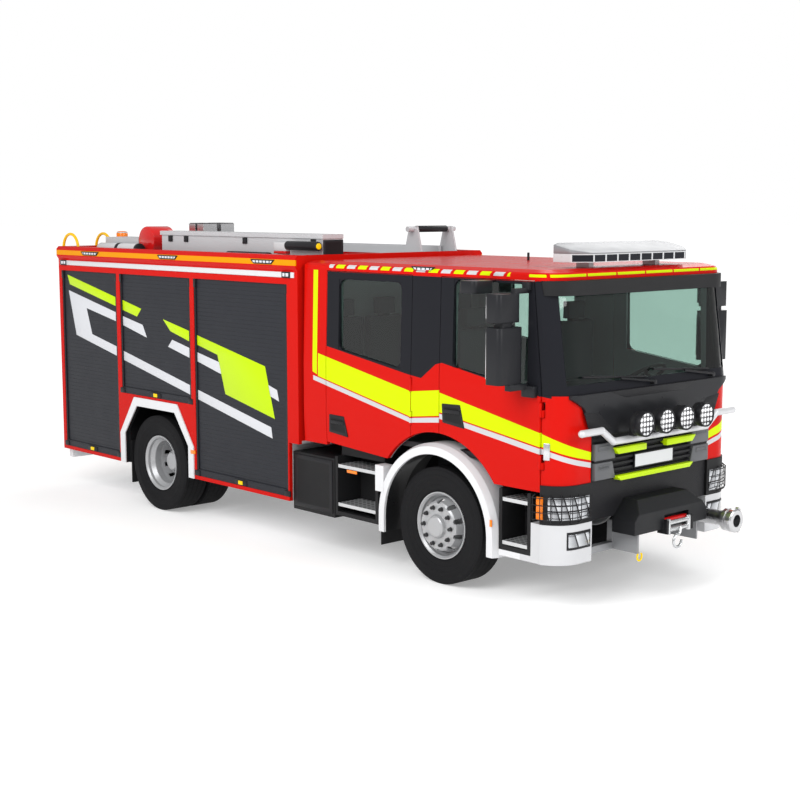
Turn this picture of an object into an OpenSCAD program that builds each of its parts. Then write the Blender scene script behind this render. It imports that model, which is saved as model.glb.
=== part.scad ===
// Two-axle fire engine with a crew cab and an equipment body closed by roller shutters.
// Millimetres. +X is forward, +Y is left, +Z is up. The wheels stand on z = 0 and the origin lies
// under the middle of the overall length. Cab and front pieces are measured from the front axle.

/* [Overall] */
// Distance between the front and rear axles
wheelbase = 4350; // [4250:10:4500]
// Front axle to the foremost point, the face of the outlet coupling
front_reach = 1800; // [1780:10:1860]
// Rear axle to the back wall of the equipment body
rear_reach = 2000; // [1950:10:2150]
// Play left where one fixed piece sits in another
seat_play = 0.3; // [0.1:0.1:0.5]
// Gap round a door or lid that moves
door_gap = 6; // [5:1:10]

/* [Wheels] */
// Outer radius of a tyre
tyre_r = 522; // [515:1:530]
// Width of a tyre
tyre_w = 298; // [290:1:305]
// Radius at which a tyre sits on its rim
bead_r = 286; // [284:1:288]
// Outer radius of the rim flange
flange_r = 300; // [298:1:304]
// Width of a rim between its flanges
rim_w = 229; // [224:1:234]
// Middle of a rim to the face of its disc
disc_offset = 165; // [160:1:170]
// Thickness of a wheel disc
disc_t = 12; // [10:1:14]
// Radius of the circle of hand holes in a disc
hand_hole_pcr = 226; // [224:1:228]
// Radius of one hand hole
hand_hole_r = 24; // [20:1:26]
// Distance between the front wheel middles
track_front = 2060; // [2040:5:2080]
// Distance between the middles of the rear twin wheels
track_rear = 1830; // [1810:5:1840]
// Radius of a wheel bearing pin
spindle_r = 45; // [40:1:50]
// Play of a shaft in its bore
run_play = 0.05; // [0.02:0.01:0.08]

/* [Steering] */
// Middle of the vehicle to a kingpin
kingpin_y = 880; // [870:5:890]
// Radius of a kingpin
kingpin_r = 24; // [20:1:28]
// Height of the axle eye round a kingpin
eye_h = 110; // [90:5:130]
// Length of a steering arm
arm_l = 200; // [180:5:220]
// Height of the tie rod above the ground
tie_z = 366; // [360:1:370]
// Radius of the tie rod
tie_r = 18; // [15:1:22]
// Radius of a ball-joint pin at the end of the tie rod
tie_pin_r = 12; // [10:1:14]

/* [Frame] */
// Outside width across the frame rails
frame_w = 860; // [840:5:870]
// Width of a frame rail
rail_w = 80; // [70:5:90]
// Underside of the frame rails
rail_low = 680; // [670:5:700]
// Height of a frame rail
rail_h = 270; // [250:5:280]
// Height of the propeller shaft
prop_z = 600; // [590:5:610]
// Radius of the propeller shaft
prop_r = 45; // [40:1:55]

/* [Cab] */
// Width of the cab across its doors
cab_w = 2430; // [2420:2:2440]
// Front axle to the back of the cab
cab_back = 1830; // [1800:5:1840]
// Front axle to the front of the cab at the belt line
cab_front = 1400; // [1390:5:1410]
// Corner radius of the cab front, seen from above
cab_corner_r = 250; // [230:5:270]
// Thickness of doors and walls
wall = 55; // [45:1:60]
// How far the upper side leans inwards
tumble = 24; // [10:1:36]
// How far the lower edge of the side tucks in
sill_tuck = 14; // [0:1:24]
// Height of the belt line under the windows
belt_z = 1830; // [1800:5:1850]
// Height of the seam between sides and roof
roof_seam = 2720; // [2700:5:2740]
// Height of the cab roof
roof_z = 2805; // [2795:1:2815]
// Rake of the windscreen
screen_rake = 8; // [6:0.5:9]
// Underside of the cab floor
floor_z = 1180; // [1175:1:1190]
// Thickness of the cab floor
floor_t = 50; // [40:1:60]
// Lower edge of the front doors
door_low = 1000; // [990:5:1020]
// Lower edge of the crew doors
crew_low = 1060; // [1050:5:1080]
// Front axle to the front edge of a front door
door_front_x = 1200; // [1190:5:1205]
// How far a front door's front edge leans back above the belt line
door_lean = 100; // [80:5:120]
// Front axle forward to the back edge of a front door
door_back_x = 36; // [20:2:60]
// Front axle back to the front edge of a crew door
crew_front_x = 330; // [310:5:350]
// Front axle back to the back edge of a crew door
crew_back_x = 1493; // [1480:5:1510]
// Radius of the cut over the front wheel
arch_cut_r = 835; // [830:1:845]
// How far the mirrors stand out from the doors
mirror_out = 345; // [330:5:350]
// Radius of a door hinge pin
hinge_pin_r = 7; // [6:0.5:8]
// Radius of a door hinge eye
hinge_eye_r = 14; // [13:0.5:16]
// Height of a door hinge eye
hinge_eye_h = 60; // [50:5:70]

/* [Front] */
// Half width of the middle front panels
panel_half = 800; // [780:5:820]
// Lower edge of the red front corner panels
corner_low = 1060; // [1050:5:1070]
// Lower edge of the upper front lid
lid_low = 1440; // [1430:5:1450]
// Lower edge of the headlamps
headlamp_low = 735; // [725:5:745]
// Lower edge of the front bumper
bumper_low = 400; // [390:5:410]
// Front axle to the middle of the lamp bar
bar_x = 1500; // [1490:5:1520]
// Radius of the lamp bar tube
bar_r = 30; // [26:1:34]
// Distance between neighbouring driving lamps
lamp_pitch = 277; // [260:1:290]
// Radius of a driving lamp
lamp_r = 102; // [95:1:110]
// Height of the driving lamps
lamp_z = 1533; // [1525:1:1540]
// Half width of the winch cover
winch_half = 500; // [480:5:520]
// Front axle to the front of the winch cover
winch_front = 1630; // [1610:5:1650]
// Radius of the outlet coupling
coupling_r = 105; // [95:1:115]
// Sideways place of the outlet coupling
coupling_y = 720; // [700:5:720]
// Height of the outlet coupling
coupling_z = 575; // [560:5:590]
// Radius of the hole through the outlet coupling
outlet_r = 55; // [50:1:60]

/* [Wheel arches] */
// Inner radius of the front wheel arch
arch_r = 645; // [640:1:655]
// Half width of the rear wheel arch
rear_arch_half = 620; // [610:5:630]
// Height of the top of the rear wheel arch
rear_arch_z = 1120; // [1115:1:1130]
// Width of the white trim round an arch
arch_trim = 95; // [80:1:100]
// Lower end of the front arch legs
arch_low = 370; // [360:5:380]

/* [Equipment body] */
// Width of the equipment body
body_w = 2500; // [2490:2:2510]
// How far the roof cornice stands out from the sides
cornice_out = 25; // [20:1:30]
// Underside of the equipment body
body_low = 450; // [440:5:470]
// Underside of the roof cornice
cornice_low = 2700; // [2690:5:2705]
// Top of the roof cornice
cornice_top = 2850; // [2840:2:2860]
// Height of the walkable roof deck
deck_z = 2760; // [2750:2:2770]
// Gap between the cab and the equipment body
cab_gap = 40; // [35:1:50]
// Thickness of the body's side frames and walls
body_wall = 40; // [35:1:45]
// Width of the posts between the shutters
post_w = 75; // [65:1:85]
// Lower edge of the low shutters
shutter_low = 490; // [480:5:510]
// Upper edge of the shutters
shutter_high = 2570; // [2560:5:2580]
// Lower edge of the shutter over the rear wheel
shutter_mid_low = 1240; // [1230:5:1250]
// Thickness of a roller shutter
shutter_t = 14; // [12:1:16]
// How deep a shutter lies behind the side face
shutter_in = 18; // [14:1:20]
// Thickness of the floor plates
plate_t = 30; // [25:1:35]
// Distance the rear ladder stands behind the body
ladder_out = 80; // [70:5:90]
// Radius of a ladder tube
ladder_r = 17; // [15:1:20]

/* [Roof gear] */
// Length of the roof box
roof_box_l = 2780; // [2600:10:2800]
// Width of the roof box
roof_box_w = 260; // [240:5:300]
// Top of the roof box without its lid
roof_box_top = 3000; // [2980:5:3020]
// Thickness of the roof box lid
roof_lid_t = 45; // [40:1:50]
// Sideways place of the roof box's outer face
roof_box_y = 900; // [880:5:920]
// Sideways place of the light mast
mast_y = 300; // [290:5:310]
// Length of the light mast
mast_l = 1150; // [1100:10:1200]
// Radius of the light mast tube
mast_r = 45; // [40:1:50]
// Sideways place of the roof ladder
roof_ladder_y = 700; // [680:5:720]

/* [Hidden] */
$fn = 48;

overall_l = front_reach + wheelbase + rear_reach + ladder_out;
front_x = overall_l / 2 - front_reach;
rear_x = front_x - wheelbase;
body_back = rear_x - rear_reach;
body_front = front_x - cab_back - cab_gap;
axle_z = tyre_r;
rail_top = rail_low + rail_h;
rail_in = frame_w / 2 - rail_w;
big = 6000;
white_paint = [0.93, 0.93, 0.94];
red_paint = [0.82, 0.06, 0.05];
black_plastic = [0.06, 0.06, 0.07];
dark_grey = [0.20, 0.20, 0.22];
light_grey = [0.72, 0.73, 0.74];
yellow_paint = [0.95, 0.75, 0.05];
bare_metal = [0.75, 0.76, 0.78];
rubber_black = [0.05, 0.05, 0.05];

// A block between two corners
module block(x0, x1, y0, y1, z0, z1) {
    translate([x0, y0, z0]) cube([x1 - x0, y1 - y0, z1 - z0]);
}
// A round bar along X, Y or Z from a start point
module bar_along_x(x0, x1, y, z, r) {
    translate([x0, y, z]) rotate([0, 90, 0]) cylinder(h = x1 - x0, r = r);
}
module bar_along_y(x, y0, y1, z, r) {
    translate([x, y1, z]) rotate([90, 0, 0]) cylinder(h = y1 - y0, r = r);
}
module bar_along_z(x, y, z0, z1, r) {
    translate([x, y, z0]) cylinder(h = z1 - z0, r = r);
}
// The left piece as drawn, or its mirror image on the right
module on_side(side) {
    if (side > 0) children();
    else mirror([0, 1, 0]) children();
}
module both_sides() {
    for (side = [-1, 1]) on_side(side) children();
}
// A piece measured from the front axle
module at_front() {
    translate([front_x, 0, 0]) children();
}
// An outline in X and Z drawn out sideways between two places
module side_prism(y0, y1) {
    translate([0, y1, 0]) rotate([90, 0, 0]) linear_extrude(y1 - y0) children();
}
// An outline in Y and Z drawn out lengthways between two places
module cross_prism(x0, x1) {
    translate([x0, 0, 0]) rotate([90, 0, 90]) linear_extrude(x1 - x0) children();
}
// A shape revolved about the Y axis, with its profile in radius and sideways place
module revolve_y() {
    rotate([-90, 0, 0]) rotate_extrude($fn = 96) children();
}

// An upright post with rounded corners
module round_post(x0, x1, y0, y1, z0, z1, r) {
    translate([0, 0, z0]) linear_extrude(z1 - z0) {
        translate([x0 + r, y0]) square([x1 - x0 - 2 * r, y1 - y0]);
        translate([x0, y0 + r]) square([x1 - x0, y1 - y0 - 2 * r]);
        for (x = [x0 + r, x1 - r], y = [y0 + r, y1 - r]) translate([x, y]) circle(r);
    }
}

/* Wheels */
tyre_wall = 20;
shoulder_r = tyre_r - 22;
bulge_r = (tyre_r + bead_r) / 2 + 20;
module tyre_profile() {
    half = tyre_w / 2;
    foot = rim_w / 2 - seat_play;
    tread = half - 16;
    polygon([[bead_r, foot], [flange_r + 2, foot], [flange_r + 24, foot + 14], [bulge_r, half],
        [shoulder_r, half - 6], [tyre_r, tread], [tyre_r, -tread], [shoulder_r, 6 - half], [bulge_r, -half],
        [flange_r + 24, -foot - 14], [flange_r + 2, -foot], [bead_r, -foot], [bead_r, tyre_wall - foot],
        [bead_r + 40, tyre_wall - foot], [bulge_r, tyre_wall - half],
        [tyre_r - 36, tyre_wall * 2 - half], [tyre_r - 36, half - tyre_wall * 2],
        [bulge_r, half - tyre_wall], [bead_r + 40, foot - tyre_wall], [bead_r, foot - tyre_wall]]);
}
module tyre(y) {
    translate([0, y, axle_z]) revolve_y() tyre_profile();
}
// A drop-centre rim with its disc towards +Y
rim_t = 9;
well_r = bead_r - 40;
hub_hole_r = 140;
module rim_profile() {
    seat = bead_r - seat_play;
    half = rim_w / 2;
    lip = half + 12;
    polygon([[flange_r, lip], [flange_r, half], [seat, half], [seat - 6, half - 34], [well_r, half - 56],
        [well_r, -40], [seat - 6, 34 - half], [seat, -half], [flange_r, -half], [flange_r, -lip],
        [flange_r - rim_t, -lip], [seat - rim_t - 4, 6 - half], [seat - rim_t - 6, 34 - half],
        [well_r - rim_t, -40], [well_r - rim_t, half - 56 - rim_t], [seat - rim_t - 6, half - 34 + 2],
        [seat - rim_t - 4, half - 6], [flange_r - rim_t, lip]]);
}
module disc_profile() {
    polygon([[hub_hole_r, disc_offset], [204, disc_offset], [220, disc_offset - 14], [well_r - 4, 52],
        [well_r - 4, 34], [well_r - rim_t, 34], [212, disc_offset - 30],
        [200, disc_offset - disc_t], [hub_hole_r, disc_offset - disc_t]]);
}
hand_holes = 10;
module disc_wheel() {
    difference() {
        revolve_y() union() {
            rim_profile();
            disc_profile();
        }
        for (i = [0:hand_holes - 1]) rotate([0, (i + 0.5) * 360 / hand_holes, 0])
            bar_along_y(hand_hole_pcr, 74, disc_offset + 20, 0, hand_hole_r);
    }
}
hub_in = -60;
hub_out = 205;
brake_r = 205;
module front_rim() {
    translate([0, track_front / 2, axle_z]) {
        disc_wheel();
        difference() {
            revolve_y() polygon([[0, hub_out], [84, hub_out], [96, hub_out - 10], [108, disc_offset],
                [hub_hole_r + 4, disc_offset], [hub_hole_r + 4, disc_offset - disc_t],
                [190, disc_offset - disc_t], [190, disc_offset - disc_t - 16],
                [110, disc_offset - disc_t - 16], [100, -20], [brake_r, -20], [brake_r, -50],
                [90, -50], [90, hub_in], [0, hub_in]]);
            bar_along_y(0, hub_in - 1, spindle_l - track_front / 2 + kingpin_y + 4, 0, spindle_r + run_play);
        }
    }
}
rear_hub_in = 640;
rear_hub_out = track_rear / 2 + 150;
module rear_rims() {
    mid = track_rear / 2;
    translate([0, 0, axle_z]) {
        translate([0, mid - disc_offset, 0]) disc_wheel();
        translate([0, mid + disc_offset, 0]) mirror([0, 1, 0]) disc_wheel();
        difference() {
            revolve_y() polygon([[0, rear_hub_out], [90, rear_hub_out], [110, rear_hub_out - 20],
                [120, mid + disc_t], [hub_hole_r + 4, mid + disc_t], [hub_hole_r + 4, mid - disc_t],
                [195, mid - disc_t], [195, mid - disc_t - 16], [120, mid - disc_t - 16],
                [110, rear_hub_in + 60], [brake_r, rear_hub_in + 60], [brake_r, rear_hub_in + 10],
                [100, rear_hub_in + 10], [100, rear_hub_in], [0, rear_hub_in]]);
            bar_along_y(0, rear_hub_in - 1, rear_spindle_end + 4, 0, spindle_r + run_play);
        }
    }
}
rear_spindle_end = track_rear / 2 + 60;
module wheel_front_tyre(side) {
    at_front() on_side(side) color(rubber_black) tyre(track_front / 2);
}
module wheel_front_rim(side) {
    at_front() on_side(side) color(bare_metal) front_rim();
}
module wheel_rear_tyres(side) {
    translate([rear_x, 0, 0]) on_side(side) color(rubber_black)
        for (s = [-1, 1]) tyre(track_rear / 2 + s * disc_offset);
}
module wheel_rear_rims(side) {
    translate([rear_x, 0, 0]) on_side(side) color(bare_metal) rear_rims();
}

/* Steering and axles */
eye_r = 52;
fork_t = 34;
fork_play = 1;
spindle_l = 250;
module knuckle(side) {
    low = axle_z - eye_h / 2 - fork_play - fork_t;
    high = axle_z + eye_h / 2 + fork_play + fork_t;
    post_y = kingpin_y + eye_r + 6;
    hub_face = track_front / 2 + hub_in - 6;
    at_front() on_side(side) color(dark_grey) {
        bar_along_z(0, kingpin_y, low, high, kingpin_r);
        for (z = [low, high - fork_t]) {
            bar_along_z(0, kingpin_y, z, z + fork_t, eye_r);
            block(-eye_r, eye_r, kingpin_y, hub_face, z, z + fork_t);
        }
        block(-eye_r, eye_r, post_y, hub_face, low, high);
        bar_along_y(0, post_y, kingpin_y + spindle_l, axle_z, spindle_r);
        block(-arm_l, 0, kingpin_y - 25, kingpin_y + 25, low - 30, low + 1);
        bar_along_z(-arm_l, kingpin_y, low - 30, low + 1, 32);
        bar_along_z(-arm_l, kingpin_y, tie_z - tie_eye_h / 2 - 6, low - 29, tie_pin_r);
    }
}
tie_eye_r = 30;
tie_eye_h = 36;
tie_open_play = 1;
module tie_rod() {
    at_front() translate([-arm_l, 0, 0]) color(dark_grey) difference() {
        union() {
            bar_along_y(0, -kingpin_y + 20, kingpin_y - 20, tie_z, tie_r);
            for (s = [-1, 1])
                bar_along_z(0, s * kingpin_y, tie_z - tie_eye_h / 2, tie_z + tie_eye_h / 2, tie_eye_r);
        }
        bar_along_z(0, kingpin_y, tie_z - tie_eye_h, tie_z + tie_eye_h, tie_pin_r + run_play);
        bar_along_z(0, -kingpin_y, tie_z - tie_eye_h, tie_z + tie_eye_h, tie_pin_r + tie_open_play);
    }
}
beam_top = 500;
beam_h = 90;
beam_w = 80;
spring_y = frame_w / 2 - rail_w / 2;
module front_axle() {
    at_front() color(dark_grey) difference() {
        union() {
            block(-beam_w / 2, beam_w / 2, -kingpin_y, kingpin_y, beam_top - beam_h, beam_top);
            both_sides() {
                bar_along_z(0, kingpin_y, axle_z - eye_h / 2, axle_z + eye_h / 2, eye_r);
                block(-beam_w / 2, beam_w / 2, kingpin_y - 160, kingpin_y, beam_top - 60, axle_z + 30);
                block(-70, 70, spring_y - rail_w / 2, spring_y + rail_w / 2, beam_top - 20, beam_top + 10);
            }
        }
        both_sides() {
            bar_along_z(0, kingpin_y, 0, 2 * axle_z, kingpin_r + run_play);
            for (s = [-1, 1]) translate([0, 0, axle_z + s * (eye_h / 2 + 100)])
                translate([0, kingpin_y, 0]) cube([160, 220, 200], center = true);
        }
    }
}
rear_tube_r = 75;
banjo_r = 210;
module rear_axle() {
    translate([rear_x, 0, 0]) color(dark_grey) {
        bar_along_y(0, -rear_hub_in + 12, rear_hub_in - 12, axle_z, rear_tube_r);
        bar_along_y(0, -rear_spindle_end, rear_spindle_end, axle_z, spindle_r);
        translate([0, 0, axle_z]) sphere(banjo_r);
        bar_along_x(0, banjo_r + 120, 0, prop_z, 70);
        both_sides()
            block(-80, 80, spring_y - rail_w / 2, spring_y + rail_w / 2, axle_z, axle_z + rear_tube_r + 10);
    }
}
spring_half = 760;
rear_spring_half = 800;
leaf_t = 45;
// A bent pack of leaves that rests on its axle and rises to its hangers
module leaf_pack(half, low, rise) {
    bend_r = (half * half + rise * rise) / (2 * rise);
    bend_fn = 720;
    intersection() {
        translate([0, 0, low + bend_r]) difference() {
            bar_along_y(0, spring_y - rail_w / 2, spring_y + rail_w / 2, 0, bend_r, $fn = bend_fn);
            bar_along_y(0, spring_y - rail_w, spring_y + rail_w, 0, bend_r - leaf_t, $fn = bend_fn);
        }
        block(-half, half, 0, big, 0, low + rise + leaf_t);
    }
}
front_spring_low = beam_top + 10;
rear_spring_low = axle_z + rear_tube_r + 10;
module leaf_springs() {
    color(dark_grey) both_sides() {
        at_front() leaf_pack(spring_half, front_spring_low, rail_low - front_spring_low - leaf_t - 2);
        translate([rear_x, 0, 0])
            leaf_pack(rear_spring_half, rear_spring_low, rail_low - rear_spring_low - leaf_t - 2);
    }
}
cross_w = 120;
frame_front = front_x + 1180;
frame_back = body_back + 120;
mount_front_x = 1000;
mount_back_x = -1500;
tow_r = 26;
module chassis_frame() {
    hang = 60;
    color(dark_grey) difference() {
        union() {
            both_sides() {
                difference() {
                    block(frame_back, frame_front, rail_in, frame_w / 2, rail_low, rail_top);
                    block(frame_back - 1, frame_front + 1, rail_in - 1, frame_w / 2 - 12,
                        rail_low + 12, rail_top - 12);
                }
                for (x = [front_x - spring_half - hang, front_x + spring_half])
                    block(x, x + hang, rail_in, frame_w / 2, rail_low - 100, rail_low);
                for (x = [rear_x - rear_spring_half - hang, rear_x + rear_spring_half])
                    block(x, x + hang, rail_in, frame_w / 2, rail_low - 100, rail_low);
                for (x = [mount_front_x, mount_back_x])
                    block(front_x + x - 60, front_x + x + 60, rail_in, frame_w / 2, rail_top, floor_z);
            }
            for (x = [frame_back, rear_x - 900, rear_x + 900, front_x - 1500, frame_front - cross_w])
                block(x, x + cross_w, -frame_w / 2 + 12, frame_w / 2 - 12, rail_low + 60, rail_top - 40);
        }
        bar_along_z(frame_back + cross_w / 2, 0, rail_low, rail_top, tow_r);
    }
}
engine_back = -700;
engine_front = 880;
engine_half = rail_in - 60;
module engine() {
    at_front() color(dark_grey) {
        block(engine_back + 500, engine_front, -engine_half, engine_half, 560, floor_z - 20);
        block(engine_back, engine_back + 501, -200, 200, 520, rail_top - 60);
        both_sides() block(300, 420, engine_half - 1, rail_in, rail_low + 80, rail_low + 180);
    }
}
module propeller_shaft() {
    color(dark_grey) {
        bar_along_x(rear_x + banjo_r + 120, front_x + engine_back, 0, prop_z, prop_r);
        bar_along_x(rear_x + banjo_r + 120, rear_x + banjo_r + 150, 0, prop_z, prop_r + 25);
        bar_along_x(front_x + engine_back - 30, front_x + engine_back, 0, prop_z, prop_r + 25);
    }
}

/* Cab shell */
door_y = cab_w / 2;
side_top_y = cab_w / 2 - tumble;
// Cross-section of the left cab side, with its lower tuck and upper lean
module cab_side_section() {
    shoulder = belt_z - 500;
    polygon([[door_y - sill_tuck, door_low - 20], [door_y, shoulder], [door_y, belt_z],
        [side_top_y, roof_seam], [side_top_y - wall, roof_seam], [door_y - wall, belt_z],
        [door_y - wall, shoulder], [door_y - sill_tuck - wall, door_low - 20]]);
}
// The part of the left cab side inside an outline in X and Z
module side_panel(x0, x1) {
    intersection() {
        cross_prism(x0, x1) cab_side_section();
        side_prism(0, big) difference() {
            children();
            translate([0, axle_z]) circle(arch_cut_r);
        }
    }
}
module plan(x0, x1, half, r) {
    translate([x0, -half]) square([x1 - x0 - r, 2 * half]);
    translate([x0, r - half]) square([x1 - x0, 2 * (half - r)]);
    for (s = [-1, 1]) translate([x1 - r, s * (half - r)]) circle(r, $fn = 64);
}
// The cab's outline from above, drawn in by an inset
module cab_plan(inset) {
    plan(-cab_back, cab_front - inset, cab_w / 2 - tumble / 2 - inset, cab_corner_r - inset);
}
module cab_ring(outer, inner) {
    difference() {
        cab_plan(outer);
        cab_plan(inner);
    }
}
// A standing shape leaned back with the windscreen about the belt line
module raked(z0, z1) {
    translate([cab_front, 0, belt_z]) rotate([0, -screen_rake, 0])
        translate([-cab_front, 0, z0 - belt_z]) linear_extrude(z1 - z0) children();
}
module upright(z0, z1) {
    translate([0, 0, z0]) linear_extrude(z1 - z0) children();
}
screen_half = 1075;
screen_low = belt_z + 50;
screen_high = roof_seam - 70;
glass_t = 8;
glass_in = 10;
module screen_block(grow) {
    translate([cab_front, 0, belt_z]) rotate([0, -screen_rake, 0])
        block(-500, 500, -screen_half - grow, screen_half + grow,
            screen_low - belt_z - grow, screen_high - belt_z + grow);
}
module windscreen() {
    at_front() color([0.6, 0.75, 0.75, 0.4]) intersection() {
        raked(belt_z, roof_seam + 100) cab_ring(glass_in, glass_in + glass_t);
        screen_block(0);
    }
}
front_hinge_z = [1250, 1680];
crew_hinge_z = [1450, 1750];
// The hinge axis of a door lies in the gap ahead of its front edge
module hinge_eye(x, heights, play) {
    for (z = heights) bar_along_z(x, door_y, z - play, z + hinge_eye_h + play, hinge_eye_r + play);
}
module hinge_lug(x, heights, play) {
    for (z = heights) bar_along_z(x, door_y, z - hinge_eye_h - play, z - 0.5 + play, hinge_eye_r + play);
}
module hinge_pin(x, heights, grow) {
    for (z = heights) bar_along_z(x, door_y, z - hinge_eye_h, z + hinge_eye_h, hinge_pin_r + grow);
}
front_axis_x = door_front_x + door_gap / 2;
crew_axis_x = -crew_front_x + door_gap / 2;
post_l = 70;
module back_corner() {
    both_sides() side_panel(-cab_back, -crew_back_x - door_gap)
        polygon([[-cab_back, 1070], [0, 1070], [0, roof_seam], [-cab_back, roof_seam]]);
}
module cab_walls() {
    b_front = door_back_x - door_gap;
    b_back = -crew_front_x + door_gap;
    at_front() color(red_paint) {
        back_corner();
        block(-cab_back, -cab_back + wall, -side_top_y, side_top_y, floor_z + floor_t, roof_seam);
        both_sides() difference() {
            union() {
                side_panel(b_back, b_front) translate([b_back, 1200]) square([b_front - b_back, 2000]);
                hinge_lug(crew_axis_x, crew_hinge_z, 0);
                hinge_pin(crew_axis_x, crew_hinge_z, 0);
            }
            hinge_eye_cut(crew_axis_x, crew_hinge_z);
        }
        front_frame_shell();
    }
}
module hinge_eye_cut(x, heights) {
    difference() {
        for (z = heights) bar_along_z(x, door_y, z - 0.5, z + hinge_eye_h + 5, hinge_eye_r + 5);
        hinge_pin(x, heights, 0);
    }
}
// Pillars, screen surround and bulkhead behind the front panels
module front_frame_shell() {
    post_x = door_front_x + door_gap;
    difference() {
        union() {
            intersection() {
                raked(belt_z - 40, roof_seam + 60) cab_ring(0, wall);
                side_prism(-big, big) polygon([[post_x, belt_z - 30], [post_x, belt_z],
                    [post_x - door_lean, roof_seam], [big, roof_seam], [big, belt_z - 30]]);
            }
            intersection() {
                upright(floor_z + floor_t, belt_z) cab_ring(wall + 20, 2 * wall + 20);
                block(post_x, big, -big, big, 0, big);
            }
            both_sides() intersection() {
                upright(floor_z + floor_t, belt_z) cab_ring(corner_t, 2 * wall);
                block(post_x, post_x + post_l, 0, big, 0, big);
            }
            both_sides() {
                hinge_lug(front_axis_x, front_hinge_z, 0);
                hinge_pin(front_axis_x, front_hinge_z, 0);
                for (z = front_hinge_z)
                    block(post_x, post_x + 24, door_y - wall - 20, door_y - 4, z - hinge_eye_h, z - 0.5);
            }
        }
        screen_block(seat_play);
        both_sides() hinge_eye_cut(front_axis_x, front_hinge_z);
    }
}
module cab_floor() {
    half = door_y - wall - door_gap;
    tunnel_half = 380;
    at_front() color(dark_grey) difference() {
        union() {
            block(-cab_back + wall + seat_play, door_front_x, -half, half, floor_z, floor_z + floor_t);
            intersection() {
                upright(floor_z, floor_z + floor_t) cab_plan(wall + 20);
                block(door_front_x - 1, big, -big, big, 0, big);
            }
            block(-250, cab_front - 3 * wall, -tunnel_half, tunnel_half,
                floor_z + floor_t - 1, floor_z + 260);
        }
        both_sides() bar_along_y(0, arch_in - 5, big, axle_z, arch_r + arch_trim + 4);
    }
}
roof_t = 30;
module cab_roof() {
    front = cab_front - tan(screen_rake) * (roof_seam - belt_z);
    half = side_top_y;
    at_front() color(red_paint) difference() {
        hull() {
            upright(roof_seam, roof_seam + 45) plan(-cab_back, front + 15, half, 210);
            upright(roof_seam + 60, roof_seam + 62) plan(-cab_back + 15, front, half - 18, 200);
            upright(roof_z - 2, roof_z) plan(-cab_back + 60, front - 90, half - 90, 160);
        }
        upright(roof_seam - 1, roof_z - roof_t)
            plan(-cab_back + wall, front - wall - 60, half - wall - 60, 120);
    }
}
module sun_visor() {
    front = cab_front - tan(screen_rake) * (roof_seam - belt_z);
    drop = 120;
    at_front() color(black_plastic) intersection() {
        difference() {
            upright(roof_seam - drop, roof_seam) plan(0, front + 95, side_top_y - 20, 260);
            upright(roof_seam - drop - 1, roof_seam - 10) plan(0, front + 87, side_top_y - 28, 252);
            screen_shadow();
        }
        block(door_front_x - 60, big, -big, big, 0, big);
    }
}
// Room for the raked screen surround behind the visor
module screen_shadow() {
    raked(belt_z - 40, roof_seam + 100) cab_plan(-seat_play);
}

/* Doors */
front_glass = [[190, belt_z + 120], [1060, belt_z + 10], [1045, roof_seam - 35], [190, roof_seam - 20]];
crew_glass = [[-1320, belt_z + 165], [-465, belt_z + 50], [-465, roof_seam - 75], [-1320, roof_seam - 75]];
module front_door_outline() {
    polygon([[door_back_x, door_low], [door_front_x, door_low], [door_front_x, belt_z],
        [door_front_x - door_lean, roof_seam - door_gap], [door_back_x, roof_seam - door_gap]]);
}
module crew_door_outline() {
    polygon([[-crew_back_x, crew_low + 40], [-crew_front_x - 300, crew_low - 15], [-crew_front_x, crew_low],
        [-crew_front_x, roof_seam - door_gap], [-crew_back_x, roof_seam - door_gap]]);
}
module door(x0, x1, axis_x, heights) {
    difference() {
        union() {
            difference() {
                side_panel(x0, x1) children(0);
                hinge_lug(axis_x, heights, 5);
            }
            hinge_eye(axis_x, heights, 0);
        }
        side_prism(0, big) children(1);
        hinge_pin(axis_x, heights, run_play);
    }
}
module door_front(side) {
    at_front() on_side(side) color(red_paint) door(door_back_x, door_front_x, front_axis_x, front_hinge_z) {
        front_door_outline();
        polygon(front_glass);
    }
}
module door_rear(side) {
    at_front() on_side(side) color(red_paint) door(-crew_back_x, -crew_front_x, crew_axis_x, crew_hinge_z) {
        crew_door_outline();
        polygon(crew_glass);
    }
}
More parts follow.
